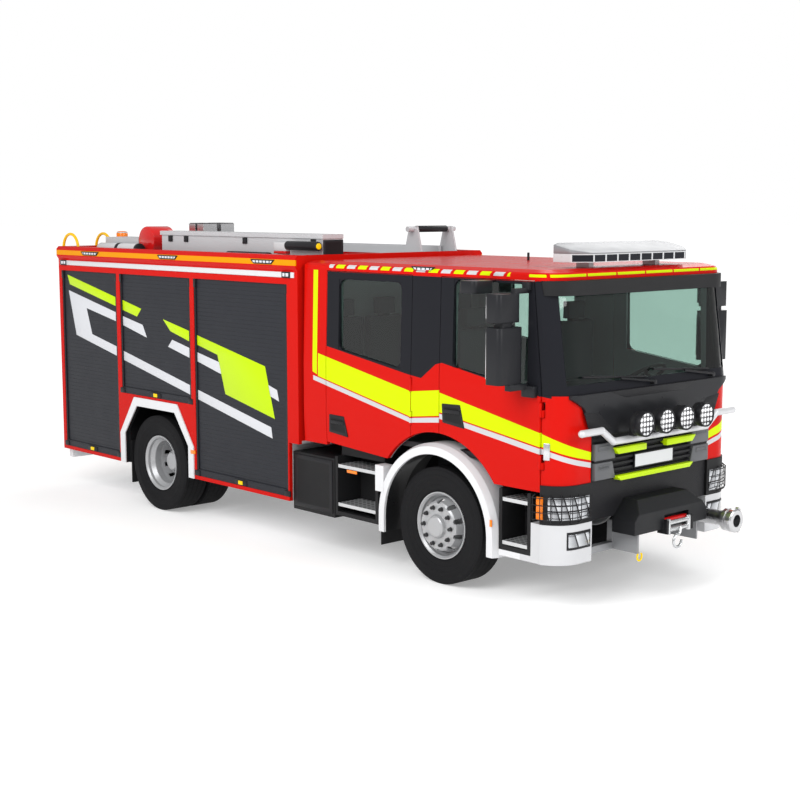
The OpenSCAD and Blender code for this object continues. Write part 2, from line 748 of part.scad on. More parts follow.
// A pane set in the middle of the door's thickness
module pane(points) {
    intersection() {
        translate([0, -wall / 2, 0]) difference() {
            cross_prism(-big, big) cab_side_section();
            translate([0, -glass_t, 0]) cross_prism(-big - 1, big + 1) cab_side_section();
        }
        side_prism(0, big) polygon(points);
    }
}
module glass_front(side) {
    at_front() on_side(side) color([0.6, 0.75, 0.75, 0.4]) pane(front_glass);
}
module glass_rear(side) {
    at_front() on_side(side) color([0.6, 0.75, 0.75, 0.4]) pane(crew_glass);
}
mirror_reach = door_y + mirror_out;
mirror_r = 40;
module mirrors(side) {
    foot_x = 1040;
    house_x = [900, 1070];
    out = [door_y + 60, mirror_reach];
    at_front() on_side(side) color(dark_grey) difference() {
        union() {
            block(foot_x, foot_x + 130, door_y - tumble, door_y + 50, belt_z - 50, belt_z + 40);
            block(foot_x - 10, foot_x + 50, door_y + 20, out[1] - 110, belt_z + 10, belt_z + 61);
            round_post(house_x[0], house_x[1], out[0], out[1], belt_z + 60, belt_z + 520, mirror_r);
            round_post(house_x[0] + 45, house_x[1] - 30, out[0] + 90, out[1] - 60,
                belt_z + 519, belt_z + 561, mirror_r / 2);
            round_post(house_x[0], house_x[1] - 10, out[0] + 20, out[1],
                belt_z + 560, belt_z + 790, mirror_r);
            block(foot_x - 30, foot_x + 20, door_y - tumble, out[0] + 90, belt_z + 789, belt_z + 830);
            block(foot_x - 30, foot_x + 40, door_y - tumble, door_y + 20, belt_z + 815, roof_seam - 10);
            block(600, 680, door_y - tumble, door_y + 90, roof_seam - 20, roof_seam - 8);
            round_post(560, 740, door_y + 60, door_y + 300, roof_seam - 110, roof_seam - 8, mirror_r);
        }
        cross_prism(0, big) cab_side_section();
    }
}

/* Cab inside */
module dashboard() {
    wheel_y = 620;
    top = belt_z - 120;
    at_front() color(black_plastic) {
        intersection() {
            upright(floor_z + floor_t + 260, top) cab_plan(2 * wall + 20);
            block(cab_front - 620, big, -door_y + wall + 40, door_y - wall - 40, 0, big);
        }
        translate([cab_front - 590, wheel_y, top + 60]) rotate([0, -35, 0]) {
            rotate_extrude() translate([220, 0]) circle(17, $fn = 24);
            for (a = [90, 210, 330]) rotate([0, 0, a]) rotate([0, 90, 0]) cylinder(h = 212, r = 14);
            translate([0, 0, -300]) cylinder(h = 310, r = 38);
            cylinder(h = 24, r = 70, center = true);
        }
    }
}
module seat(x, y, w) {
    base = floor_z + floor_t;
    block(x - 250, x + 250, y - w / 2, y + w / 2, base, base + 330);
    block(x - 280, x + 260, y - w / 2, y + w / 2, base + 329, base + 450);
    block(x - 340, x - 220, y - w / 2, y + w / 2, base + 329, base + 1020);
    block(x - 330, x - 240, y - w / 4, y + w / 4, base + 1019, base + 1200);
}
module seats() {
    at_front() color(dark_grey) {
        for (y = [-720, 640]) seat(250, y, 500);
        for (y = [-810, -270, 270, 810]) seat(-cab_back + wall + 345, y, 480);
    }
}

/* Front of the cab */
module front_band(z0, z1, outer, inner) {
    intersection() {
        upright(z0, z1) cab_ring(outer, inner);
        block(door_front_x + door_gap, big, -big, big, 0, big);
    }
}
module corner_panels() {
    at_front() color(red_paint) difference() {
        front_band(corner_low, belt_z - 31, 0, corner_t);
        cross_prism(0, big) lid_outline(2);
        block(0, big, -panel_half - 2, panel_half + 2, 0, lid_low + 1);
        both_sides() for (z = front_hinge_z)
            block(0, front_axis_x + 32, door_y - wall - 60, big, z - hinge_eye_h - 5, z + hinge_eye_h + 5);
    }
}
module front_lid() {
    at_front() color(dark_grey) intersection() {
        front_band(lid_low, belt_z - 30, -lid_out, corner_t);
        cross_prism(0, big) lid_outline(0);
    }
}
// The upper front lid seen from ahead, wider towards its top
lid_out = 28;
lid_wide = 1060;
module lid_outline(grow) {
    side = [[panel_half + grow, lid_low - grow], [panel_half + 45 + grow, lid_low + 110],
        [panel_half + 130 + grow, lid_low + 250], [lid_wide + grow, belt_z - 60], [lid_wide + grow, belt_z]];
    polygon(concat([for (q = side) q], [for (i = [4:-1:0]) [-side[i][0], side[i][1]]]));
}
slat_pitch = 46;
grille_in = 10;
bumper_in = panel_half - 10;
corner_t = 40;
module grille() {
    at_front() color(black_plastic) {
        intersection() {
            front_band(headlamp_low, lid_low - 4, grille_in, wall + 20);
            block(0, big, -panel_half + 2, panel_half - 2, 0, big);
        }
        for (z = [corner_low + 20:slat_pitch:lid_low - 60]) intersection() {
            front_band(z, z + 20, -18, grille_in + 1);
            block(0, big, -panel_half + 20, panel_half - 20, 0, big);
        }
    }
}
module headlamp() {
    difference() {
        front_band(headlamp_low, corner_low, -12, 110);
        block(0, big, -big, panel_half + 2, 0, big);
    }
}
module driving_lamp(y) {
    face = 1660;
    bar_along_x(face - 90, face, y, lamp_z, lamp_r);
    bar_along_x(face - 130, face - 89, y, lamp_z, lamp_r - 40);
    block(bar_x, face - 100, y - 20, y + 20, bar_dip_z + bar_r + seat_play, lamp_z - lamp_r + 60);
}
module lamps() {
    color(bare_metal) {
        at_front() {
            both_sides() headlamp();
            for (i = [-1.5, -0.5, 0.5, 1.5]) driving_lamp(i * lamp_pitch);
        }
        both_sides() block(body_back - 24, body_back, body_w / 2 - 350, body_w / 2 - 70, 620, 760);
    }
}
bar_dip_z = 1395;
bar_end_z = 1500;
module front_frame() {
    dip_half = 640;
    rise_run = 150;
    rise = bar_end_z - bar_dip_z;
    rise_l = sqrt(rise_run * rise_run + rise * rise);
    at_front() color(light_grey) {
        bar_along_y(bar_x, -dip_half, dip_half, bar_dip_z, bar_r);
        both_sides() {
            translate([bar_x, dip_half, bar_dip_z]) {
                sphere(bar_r + 1);
                rotate([-atan2(rise_run, rise), 0, 0]) cylinder(h = rise_l, r = bar_r);
            }
            translate([bar_x, dip_half + rise_run, bar_end_z]) sphere(bar_r + 1);
            bar_along_y(bar_x, dip_half + rise_run, 1040, bar_end_z, bar_r);
            translate([bar_x, 1040, bar_end_z]) sphere(bar_r + 1);
            block(cab_front - grille_in, bar_x, 560, 600, bar_dip_z - 10, bar_dip_z + 22);
            block(cab_front - 60, winch_front - 30, 400, 420, 430, winch_low);
            block(cab_front - 120, cab_front - 60, 350, 430, 430, rail_low);
            block(cab_front - 120, cab_front - 60, 350, bumper_in, 430, 490);
        }
        block(cab_front - 61, winch_front - 80, -401, 401, winch_low - 24, winch_low);
    }
}
winch_low = 600;
winch_high = 870;
module winch() {
    slot = 170;
    mid = 70;
    at_front() color(black_plastic) {
        difference() {
            intersection() {
                side_prism(-winch_half, winch_half) polygon([[cab_front - grille_in, winch_low],
                    [winch_front, winch_low], [winch_front, winch_low + 170], [winch_front - 100, winch_high],
                    [cab_front - grille_in, winch_high]]);
                cross_prism(0, big) polygon([[-winch_half, winch_low], [winch_half, winch_low],
                    [winch_half, winch_low + 110], [winch_half - 150, winch_high],
                    [150 - winch_half, winch_high], [-winch_half, winch_low + 110]]);
            }
            block(winch_front - 60, big, mid - slot, mid + slot, winch_low - 1, winch_low + 120);
        }
        for (y = [mid - slot + 30, mid + slot - 30])
            bar_along_z(winch_front + 20, y, winch_low - 40, winch_low + 80, 18);
        for (z = [winch_low - 10, winch_low + 50])
            bar_along_y(winch_front + 20, mid - slot + 20, mid + slot - 20, z, 16);
        for (y = [mid - slot, mid + slot])
            block(winch_front - 61, winch_front + 40, y - 14, y + 14, winch_low - 40, winch_low + 80);
        bar_along_y(winch_front - 30, mid - slot + 1, mid + slot - 1, winch_low + 40, 40);
    }
}
module outlet_coupling() {
    back = cab_front - 110 - front_reach;
    pipe_r = outlet_r + 12;
    at_front() color(bare_metal) translate([front_reach, coupling_y, coupling_z]) rotate([0, 90, 0])
        difference() {
            union() {
                rotate_extrude() polygon([[0, 0], [coupling_r - 12, 0], [coupling_r, -12],
                    [coupling_r, -52], [coupling_r - 14, -58], [coupling_r - 14, -70],
                    [coupling_r - 4, -76], [coupling_r - 4, -112], [coupling_r - 26, -124],
                    [pipe_r, -170], [pipe_r, back], [0, back]]);
                for (a = [0, 120, 240]) rotate([0, 0, a + 30])
                    block(coupling_r - 30, coupling_r + 14, -18, 18, -46, -14);
                block(-25, 25, 0, bumper_in - coupling_y, back + 10, back + 90);
            }
            translate([0, 0, -200]) cylinder(h = 201, r = outlet_r);
        }
}
module light_bar() {
    bar_back = 874;
    bar_front = 1244;
    bar_half = 775;
    at_front() color(light_grey) {
        translate([bar_back, 0, roof_z + 50]) linear_extrude(70)
            polygon([[0, -bar_half + 120], [0, bar_half - 120], [60, bar_half], [250, bar_half],
                [bar_front - bar_back, bar_half - 140], [bar_front - bar_back, 140 - bar_half],
                [250, -bar_half], [60, -bar_half]]);
        both_sides() block(bar_back + 60, bar_back + 200, 420, 480, roof_z, roof_z + 51);
    }
}

/* Sides below the cab */
skirt_y = door_y - 15;
crew_step_x = [-1385, -780];
front_step_x = [arch_r + arch_trim + 4, 1100];
side_box_x = [-2018, -1395];
front_step_low = 452;
tread_z = [500, 870];
step_deep = 290;
module step_well(span, low) {
    difference() {
        block(span[0], span[1], frame_w / 2, skirt_y, low, floor_z);
        block(span[0] + 35, span[1] - 35, skirt_y - step_deep, skirt_y + 1, low + 40, door_low - 20);
        block(span[0] - 1, span[1] + 1, door_y - wall - sill_tuck - 30, skirt_y + 1,
            door_low - 25, floor_z + 1);
    }
}
module side_skirts() {
    at_front() color(black_plastic) both_sides() {
        step_well(crew_step_x, 410);
        step_well(front_step_x, front_step_low);
        block(side_box_x[0], side_box_x[1], frame_w / 2, skirt_y, 375, rail_top - 4);
    }
}
module step_treads() {
    at_front() color(bare_metal) both_sides()
        for (span = [crew_step_x, front_step_x], z = tread_z)
            block(span[0] + 35, span[1] - 35, skirt_y - step_deep, skirt_y - 5, z, z + 32);
}
module bumpers() {
    color(white_paint) {
        at_front() both_sides() {
            difference() {
                front_band(bumper_low, headlamp_low, -12, 120);
                block(0, big, -big, bumper_in, 0, big);
            }
            block(front_step_x[1] + 4, door_front_x + door_gap + 1, skirt_y - 100, skirt_y,
                bumper_low, headlamp_low);
            block(arch_r + arch_trim, front_step_x[1] + 5, skirt_y - 60, skirt_y, bumper_low, front_step_low);
        }
        block(body_back + 20, body_back + 100, 60 - body_w / 2, body_w / 2 - 60, 340, 445);
        both_sides() block(body_back + 30, frame_back + 60, spring_y - 30, spring_y + 30, 444, rail_low);
    }
}
arch_out = door_y + 35;
arch_in = arch_out - 240;
guard_in = arch_in - 250;
module front_arch() {
    profile_r = arch_r + arch_trim;
    translate([0, 0, axle_z]) rotate([90, 0, 0]) rotate_extrude(angle = 180, $fn = 96) arch_section();
    for (s = [-1, 1]) translate([0, 0, arch_low]) linear_extrude(axle_z - arch_low)
        scale([s, 1]) scale([1, -1]) arch_section();
    block(-profile_r - 20, -arch_r - 2, -arch_out - 2, -arch_out + 120, 740, 980);
}
module arch_section() {
    polygon([[arch_r, arch_out], [arch_r + 70, arch_out], [arch_r + arch_trim, arch_out - 60],
        [arch_r + arch_trim, arch_in], [arch_r + 12, arch_in], [arch_r, arch_out - 40]]);
}
module rear_arch_outline(grow) {
    slant_run = 250;
    slant_rise = 330;
    polygon([[-rear_arch_half - grow, body_low], [-rear_arch_half - grow, rear_arch_z - slant_rise],
        [-rear_arch_half + slant_run - grow / 2, rear_arch_z + grow],
        [rear_arch_half - slant_run + grow / 2, rear_arch_z + grow],
        [rear_arch_half + grow, rear_arch_z - slant_rise], [rear_arch_half + grow, body_low]]);
}
module arch_trims() {
    color(white_paint) {
        at_front() for (side = [-1, 1]) on_side(-side) front_arch();
        translate([rear_x, 0, 0]) both_sides() difference() {
            side_prism(body_w / 2 + seat_play, body_w / 2 + 14) rear_arch_outline(arch_trim);
            side_prism(0, big) rear_arch_outline(0);
            block(-big, big, 0, big, 0, body_low + 1);
        }
    }
}
module mudguards() {
    flap_t = 12;
    flap_x = -arch_r - arch_trim;
    color(black_plastic) {
        at_front() both_sides() {
            intersection() {
                bar_along_y(0, guard_in, arch_in, axle_z, arch_r + arch_trim - 4);
                difference() {
                    bar_along_y(0, guard_in - 60, arch_in + 2, axle_z, arch_r + arch_trim - 4);
                    bar_along_y(0, guard_in - 70, arch_in + 10, axle_z, arch_r + arch_trim - 16);
                }
                block(-big, big, 0, big, axle_z + 60, floor_z);
            }
            block(flap_x, flap_x + flap_t, guard_in, arch_in - 2, 230, axle_z + 120);
            block(flap_x, flap_x + flap_t, arch_in - 3, arch_out - 50, 230, arch_low);
        }
        translate([rear_x, 0, 0]) both_sides()
            block(-tub_face + seat_play, -tub_face + seat_play + flap_t, tray_y + 120, body_w / 2 - 50,
                220, 700);
    }
}

/* Equipment body */
post_x = [body_back + 65, rear_x - rear_arch_half - arch_trim, rear_x + rear_arch_half + arch_trim,
    body_front - 170];
bottom_bar_h = 70;
low_front = body_front - 150;
shutter_spans = [[post_x[0], post_x[1] - post_w / 2], [post_x[1] + post_w / 2, post_x[2] - post_w / 2],
    [post_x[2] + post_w / 2, post_x[3]]];
shutter_lows = [shutter_low, shutter_mid_low, shutter_low];
rear_shutter_half = 620;
rear_shutter_low = 950;
tray_y = frame_w / 2 + 40 + plate_t;
tub_half = rear_arch_half + 8;
tub_face = tub_half - plate_t;
tub_top = rear_arch_z + 10;
notch_z = 1030;
front_rim = 36;
roof_rim = 90;
module body_side() {
    difference() {
        side_prism(body_w / 2 - body_wall, body_w / 2) difference() {
            polygon([[body_back, body_low], [low_front, body_low], [low_front, notch_z],
                [body_front, notch_z], [body_front, cornice_low], [body_back, cornice_low]]);
            translate([rear_x, 0]) rear_arch_outline(1);
            for (i = [0:2]) translate([shutter_spans[i][0], shutter_lows[i]])
                square([shutter_spans[i][1] - shutter_spans[i][0], shutter_high - shutter_lows[i]]);
        }
        block(rear_x - rear_arch_half, rear_x + rear_arch_half, 0, big, 0, body_low + 2);
    }
}
module body_walls() {
    inner = body_w / 2 - body_wall - seat_play;
    color(red_paint) {
        both_sides() body_side();
        block(body_front - body_wall, body_front, -inner, inner, notch_z + plate_t, cornice_low);
        difference() {
            block(body_back, body_back + body_wall, -inner, inner, rail_top + plate_t, cornice_low);
            block(body_back - 1, body_back + body_wall + 1, -rear_shutter_half, rear_shutter_half,
                rear_shutter_low + 60, shutter_high);
        }
    }
}
module shutters() {
    out = body_w / 2 - shutter_in;
    color(dark_grey) {
        both_sides() for (i = [0:2]) {
            block(shutter_spans[i][0] + seat_play, shutter_spans[i][1] - seat_play, out - shutter_t, out,
                shutter_lows[i] + seat_play, shutter_high - seat_play);
            block(shutter_spans[i][0] + 30, shutter_spans[i][1] - 30, out - 1, out + shutter_in - 4,
                shutter_lows[i] + seat_play, shutter_lows[i] + bottom_bar_h);
        }
        block(body_back + shutter_in, body_back + shutter_in + shutter_t, -rear_shutter_half + seat_play,
            rear_shutter_half - seat_play, rear_shutter_low + 60 + seat_play, shutter_high - seat_play);
    }
}
module tray(x0, x1) {
    side = body_w / 2 - body_wall - seat_play;
    difference() {
        block(x0, x1, tray_y - plate_t, side, body_low, rail_top + plate_t);
        block(x0 + plate_t, x1 - plate_t, tray_y, side + 1, body_low + plate_t, rail_top + plate_t + 1);
    }
}
module body_floor() {
    side = body_w / 2 - body_wall - seat_play;
    color(light_grey) {
        block(body_back, body_front, -tray_y, tray_y, rail_top, rail_top + plate_t);
        block(low_front - 1, body_front, -side, side, notch_z, notch_z + plate_t);
        block(low_front - plate_t, low_front, -side, side, rail_top, notch_z + plate_t);
        both_sides() {
            tray(body_back, rear_x - tub_face);
            tray(rear_x + tub_face, low_front);
            difference() {
                block(rear_x - tub_half, rear_x + tub_half, tray_y - 1, side, rail_top, tub_top + plate_t);
                block(rear_x - tub_face, rear_x + tub_face, tray_y + plate_t, side + 1,
                    rail_top - 1, tub_top);
            }
        }
    }
}
module body_roof() {
    half = body_w / 2 + cornice_out;
    rim = roof_rim;
    color(red_paint) difference() {
        union() {
            block(body_back, body_front, -body_w / 2, body_w / 2, cornice_low, deck_z);
            both_sides() cross_prism(body_back, body_front) polygon([[body_w / 2 - rim, cornice_low],
                [body_w / 2, cornice_low], [half, cornice_low + 40], [half, cornice_top - 30],
                [half - 30, cornice_top], [body_w / 2 - rim, cornice_top]]);
            block(body_back, body_back + rim, -body_w / 2 + 1, body_w / 2 - 1, cornice_low, cornice_top);
            block(body_front - front_rim, body_front, -body_w / 2 + 1, body_w / 2 - 1,
                cornice_low, cornice_top);
        }
        block(body_back + body_wall, body_front - body_wall, -body_w / 2 + body_wall, body_w / 2 - body_wall,
            cornice_low - 1, deck_z - 25);
    }
}
ladder_y = [body_w / 2 - 550, body_w / 2 - 110];
hoop_r = 165;
hoop_top = 2990;
module rear_ladder() {
    stile_x = body_back - ladder_out + ladder_r;
    foot = 900;
    color(yellow_paint) {
        for (y = ladder_y) {
            bar_along_z(stile_x, -y, foot, hoop_top - hoop_r, ladder_r);
            translate([stile_x + hoop_r, -y, hoop_top - hoop_r]) rotate([90, 0, 0])
                rotate_extrude(angle = 180) translate([hoop_r, 0]) circle(ladder_r, $fn = 32);
            bar_along_z(stile_x + 2 * hoop_r, -y, deck_z, hoop_top - hoop_r, ladder_r);
            for (z = [foot + 100, cornice_low - 150]) bar_along_x(stile_x, body_back, -y, z, ladder_r - 4);
        }
        for (z = [foot + 60:280:cornice_low - 60])
            bar_along_y(stile_x, -ladder_y[1], -ladder_y[0], z, ladder_r - 3);
    }
}

/* Roof gear */
box_front = body_front - 40;
chest_gap = 480;
chest_x = [body_back + chest_gap, box_front - roof_box_l - chest_gap];
lid_axis_y = roof_box_w - roof_box_y + 14;
lid_axis_z = roof_box_top + 6;
hinge_x = [box_front - roof_box_l + 300, box_front - 300];
module roof_box() {
    t = 20;
    low = deck_z;
    color(light_grey) {
        difference() {
            block(box_front - roof_box_l, box_front, -roof_box_y, roof_box_w - roof_box_y, low, roof_box_top);
            block(box_front - roof_box_l + t, box_front - t, -roof_box_y + t, -roof_box_y + roof_box_w - t,
                low + t, roof_box_top + 1);
        }
        for (x = hinge_x) lid_hinge_post(x);
    }
}
lid_pin_r = 6;
lid_eye_r = 12;
module lid_hinge_post(x) {
    bar_along_x(x - 60, x - 20.5, lid_axis_y, lid_axis_z, lid_eye_r);
    bar_along_x(x - 60, x + 40, lid_axis_y, lid_axis_z, lid_pin_r);
    block(x - 60, x - 20.5, roof_box_w - roof_box_y, lid_axis_y + lid_eye_r, roof_box_top - 60, lid_axis_z);
}
module roof_box_lid() {
    lip = 15;
    color(light_grey) difference() {
        union() {
            block(box_front - roof_box_l - lip, box_front + lip, -roof_box_y - lip,
                roof_box_w - roof_box_y - 8, roof_box_top + 1, roof_box_top + roof_lid_t);
            for (x = hinge_x) {
                bar_along_x(x - 20, x + 40, lid_axis_y, lid_axis_z, lid_eye_r);
                block(x - 20, x + 40, lid_axis_y - 30, lid_axis_y, lid_axis_z, lid_axis_z + lid_eye_r);
            }
        }
        for (x = hinge_x) {
            bar_along_x(x - 70, x + 41, lid_axis_y, lid_axis_z, lid_pin_r + run_play);
            bar_along_x(x - 62, x - 20, lid_axis_y, lid_axis_z, lid_eye_r + 2);
        }
    }
}
mast_x = rear_x + 900;
mast_z = deck_z + 190;
mast_pin_r = 20;
head_reach = 210;
module light_mast() {
    color(bare_metal) translate([mast_x, -mast_y, mast_z]) difference() {
        union() {
            bar_along_y(0, -49.5, 49.5, 0, 60);
            bar_along_x(-mast_l, 0, 0, 0, mast_r);
            block(-mast_l - 60, -mast_l + 60, -head_reach, head_reach, -40, 40);
            for (s = [-1, 1], x = [-130, 30])
                block(x - mast_l, x + 120 - mast_l, s * 120 - 90, s * 120 + 90, 39, 170);
        }
        bar_along_y(0, -51, 51, 0, mast_pin_r + run_play);
    }
}
grip_x = body_front - 190;
grip_z = deck_z + 320;
grip_r = 28;
module roof_gear() {
    color(light_grey) {
        translate([mast_x, -mast_y, 0]) {
            for (y = [-66, 50]) block(-60, 60, y, y + 16, deck_z, mast_z + 50);
            bar_along_y(0, -66, 66, mast_z, mast_pin_r);
        }
        for (y = [-200, 200])
            block(body_back + 200, body_front - 260, roof_ladder_y + y - 20, roof_ladder_y + y + 20,
                deck_z + 60, deck_z + 140);
        for (x = [body_back + 300:320:body_front - 400])
            bar_along_y(x, roof_ladder_y - 190, roof_ladder_y + 190, deck_z + 100, 18);
        for (x = [body_back + 600, body_front - 700])
            block(x - 30, x + 30, roof_ladder_y - 240, roof_ladder_y + 240, deck_z, deck_z + 61);
        for (y = [-260, 240])
            side_prism(roof_ladder_y + y, roof_ladder_y + y + 20) polygon([[grip_x - 150, deck_z],
                [grip_x + 150, deck_z], [grip_x + 60, grip_z + grip_r], [grip_x - 60, grip_z + grip_r]]);
        bar_along_y(grip_x, roof_ladder_y - 340, roof_ladder_y + 340, grip_z, grip_r);
        block(chest_x[0], chest_x[1], -roof_box_y, roof_box_w - roof_box_y + 80,
            deck_z, deck_z + 200);
        for (y = [750 - body_w / 2, body_w / 2 - 200]) {
            bar_along_z(body_back + 200, y, deck_z, deck_z + 120, 45);
            bar_along_z(body_back + 200, y, deck_z + 119, deck_z + 250, 65);
        }
    }
}

chassis_frame();
front_axle();
rear_axle();
leaf_springs();
engine();
propeller_shaft();
knuckle(-1);  // knuckle_right
knuckle(1);  // knuckle_left
tie_rod();
wheel_front_tyre(-1);  // tyre_front_right
wheel_front_rim(-1);  // rim_front_right
wheel_front_tyre(1);  // tyre_front_left
wheel_front_rim(1);  // rim_front_left
wheel_rear_tyres(-1);  // tyres_rear_right
wheel_rear_rims(-1);  // rims_rear_right
wheel_rear_tyres(1);  // tyres_rear_left
wheel_rear_rims(1);  // rims_rear_left
cab_floor();
cab_walls();
cab_roof();
windscreen();
door_front(-1);  // door_front_right
door_front(1);  // door_front_left
door_rear(-1);  // door_rear_right
door_rear(1);  // door_rear_left
glass_front(-1);  // glass_front_right
glass_front(1);  // glass_front_left
glass_rear(-1);  // glass_rear_right
glass_rear(1);  // glass_rear_left
mirrors(-1);  // mirrors_right
mirrors(1);  // mirrors_left
dashboard();
seats();
sun_visor();
light_bar();
front_lid();
corner_panels();
grille();
lamps();
bumpers();
front_frame();
winch();
outlet_coupling();
side_skirts();
step_treads();
arch_trims();
mudguards();
body_floor();
body_walls();
body_roof();
shutters();
rear_ladder();
roof_box();
roof_box_lid();
light_mast();
roof_gear();
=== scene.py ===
# %% [markdown]
# # A crew-cab fire engine, dressed
# The solid model of the fire engine comes in as a fixed frame in metres: +X is forward, +Y is the
# vehicle's left and +Z is up. Here it gets its paint, glass, rubber and bright metal, and the small
# pieces that solids leave out. Every size below is in that same frame.

# %% Load the frame
import math
import bpy
from mathutils import Matrix, Vector


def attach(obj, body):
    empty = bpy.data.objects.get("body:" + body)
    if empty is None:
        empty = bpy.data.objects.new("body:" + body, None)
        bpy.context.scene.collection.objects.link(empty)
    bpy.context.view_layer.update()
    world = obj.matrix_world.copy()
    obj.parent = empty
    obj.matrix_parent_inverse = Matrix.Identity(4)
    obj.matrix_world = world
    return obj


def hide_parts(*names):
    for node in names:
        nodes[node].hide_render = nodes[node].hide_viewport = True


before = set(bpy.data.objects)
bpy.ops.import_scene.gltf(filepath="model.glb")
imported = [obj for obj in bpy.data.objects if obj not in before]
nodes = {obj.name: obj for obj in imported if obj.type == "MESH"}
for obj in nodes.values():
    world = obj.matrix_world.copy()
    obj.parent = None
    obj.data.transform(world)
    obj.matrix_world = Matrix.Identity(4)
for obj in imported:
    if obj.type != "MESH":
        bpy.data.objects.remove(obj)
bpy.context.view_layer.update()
FRONT_AXLE, REAR_AXLE, AXLE_Z = 2.315, -2.035, 0.522
BODY_BACK, ROOF_Z = -4.035, 2.805
AHEAD, TO_RIGHT, UP = (1, 0, 0), (0, -1, 0), (0, 0, 1)

# %% [markdown]
# ## Camera
# The camera was worked out from the photograph's wheels and body corners: it stands ahead and to the
# right of the vehicle at a little over three metres and looks slightly down. The lens follows from
# the focal length in pixels of an 800 pixel square picture on a 36 mm sensor.

# %% Camera
SENSOR_MM, PICTURE_PX, FOCAL_PX = 36, 800, 1451.295
YAW, PITCH = 2.396, -0.133
camera_data = bpy.data.cameras.new("camera")
camera = bpy.data.objects.new("camera", camera_data)
bpy.context.collection.objects.link(camera)
camera.location = (8.971 + FRONT_AXLE, -9.929, 3.318)
look = Vector((math.cos(PITCH) * math.cos(YAW), math.cos(PITCH) * math.sin(YAW), math.sin(PITCH)))
camera.rotation_euler = look.to_track_quat("-Z", "Y").to_euler()
camera_data.sensor_width = SENSOR_MM
camera_data.lens = SENSOR_MM * FOCAL_PX / PICTURE_PX
camera_data.clip_end = 500
bpy.context.scene.camera = camera
print("lens", round(camera_data.lens, 2), "mm")

# %% [markdown]
# ## Studio
# The photograph has a plain white surround, so the world shows white to the camera and gives an even
# light. Three large soft lamps shape the sides, and the floor only has to take a shadow: it glows
# more the farther it lies from the vehicle, so that it fades into the white.

# %% World and lamps
bpy.context.scene.view_settings.view_transform = "Standard"
LAMPS_AIM = Vector((0, 0, 1.2))


def new_tree(holder):
    holder.use_nodes = True
    holder.node_tree.nodes.clear()
    return holder.node_tree


def add_node(tree, kind, **values):
    """A new shader node with some of its inputs set by name."""
    node = tree.nodes.new("ShaderNode" + kind)
    for name, value in values.items():
        node.inputs[name.replace("_", " ")].default_value = value
    return node


def wire(tree, *joins):
    """Each join names a node, its output, the next node and its input."""
    for source, leaving, target, entering in joins:
        tree.links.new(source.outputs[leaving], target.inputs[entering])


def soft_lamp(name, place, size, watts):
    lamp = bpy.data.lights.new(name, "AREA")
    lamp.size = size
    lamp.energy = watts
    holder = bpy.data.objects.new(name, lamp)
    bpy.context.collection.objects.link(holder)
    holder.location = place
    holder.rotation_euler = (LAMPS_AIM - Vector(place)).to_track_quat("-Z", "Y").to_euler()


world = bpy.data.worlds.new("studio")
bpy.context.scene.world = world
sky = new_tree(world)
sky_out = add_node(sky, "OutputWorld")
sky_mix = add_node(sky, "MixShader")
sky_light = add_node(sky, "Background", Color=(1, 1, 1, 1), Strength=0.55)
sky_seen = add_node(sky, "Background", Color=(1, 1, 1, 1), Strength=1.0)
sky_path = add_node(sky, "LightPath")
wire(sky, (sky_path, "Is Camera Ray", sky_mix, 0), (sky_light, 0, sky_mix, 1),
     (sky_seen, 0, sky_mix, 2), (sky_mix, 0, sky_out, 0))
soft_lamp("lamp_above_right", (3.0, -11.0, 9.0), 8, 1250)
soft_lamp("lamp_ahead", (13.0, 1.0, 7.0), 6, 700)
soft_lamp("lamp_left", (-2.0, 10.0, 8.0), 8, 450)
print("world and lamps ready")

# %% [markdown]
# ### Floor
# A very large plane just under the tyres takes the shadow. It belongs to the studio, not to the part.

# %% Floor


def clear_selection():
    bpy.ops.object.select_all(action="DESELECT")


clear_selection()
bpy.ops.mesh.primitive_plane_add(size=400, location=(0, 0, -0.002))
floor = bpy.context.object
floor.name = "floor"
floor_paint = bpy.data.materials.new("floor_white")
ground = new_tree(floor_paint)
ground_out = add_node(ground, "OutputMaterial")
ground_dull = add_node(ground, "BsdfPrincipled", Base_Color=(0.82, 0.82, 0.82, 1), Roughness=0.9,
                       Specular_IOR_Level=0.0)
ground_glow = add_node(ground, "Emission")
ground_sum = add_node(ground, "AddShader")
ground_place = add_node(ground, "TexCoord")
ground_reach = add_node(ground, "VectorMath")
ground_reach.operation = "LENGTH"
ground_fade = add_node(ground, "MapRange", From_Min=4.0, From_Max=14.0, To_Min=0.30, To_Max=0.65)
wire(ground, (ground_place, "Object", ground_reach, 0), (ground_reach, "Value", ground_fade, "Value"),
     (ground_fade, "Result", ground_glow, "Strength"), (ground_dull, 0, ground_sum, 0),
     (ground_glow, 0, ground_sum, 1), (ground_sum, 0, ground_out, 0))
floor.data.materials.append(floor_paint)
print("floor ready")

# %% [markdown]
# ## Finishes
# A finish starts from one base colour, and noise on the object's own coordinates breaks up its colour
# and gloss, with a fine bump for the grain. A small class keeps the node work short: it adds maths
# nodes, and lays one colour over another where a mask is one.

# %% A finish with helpers for masks


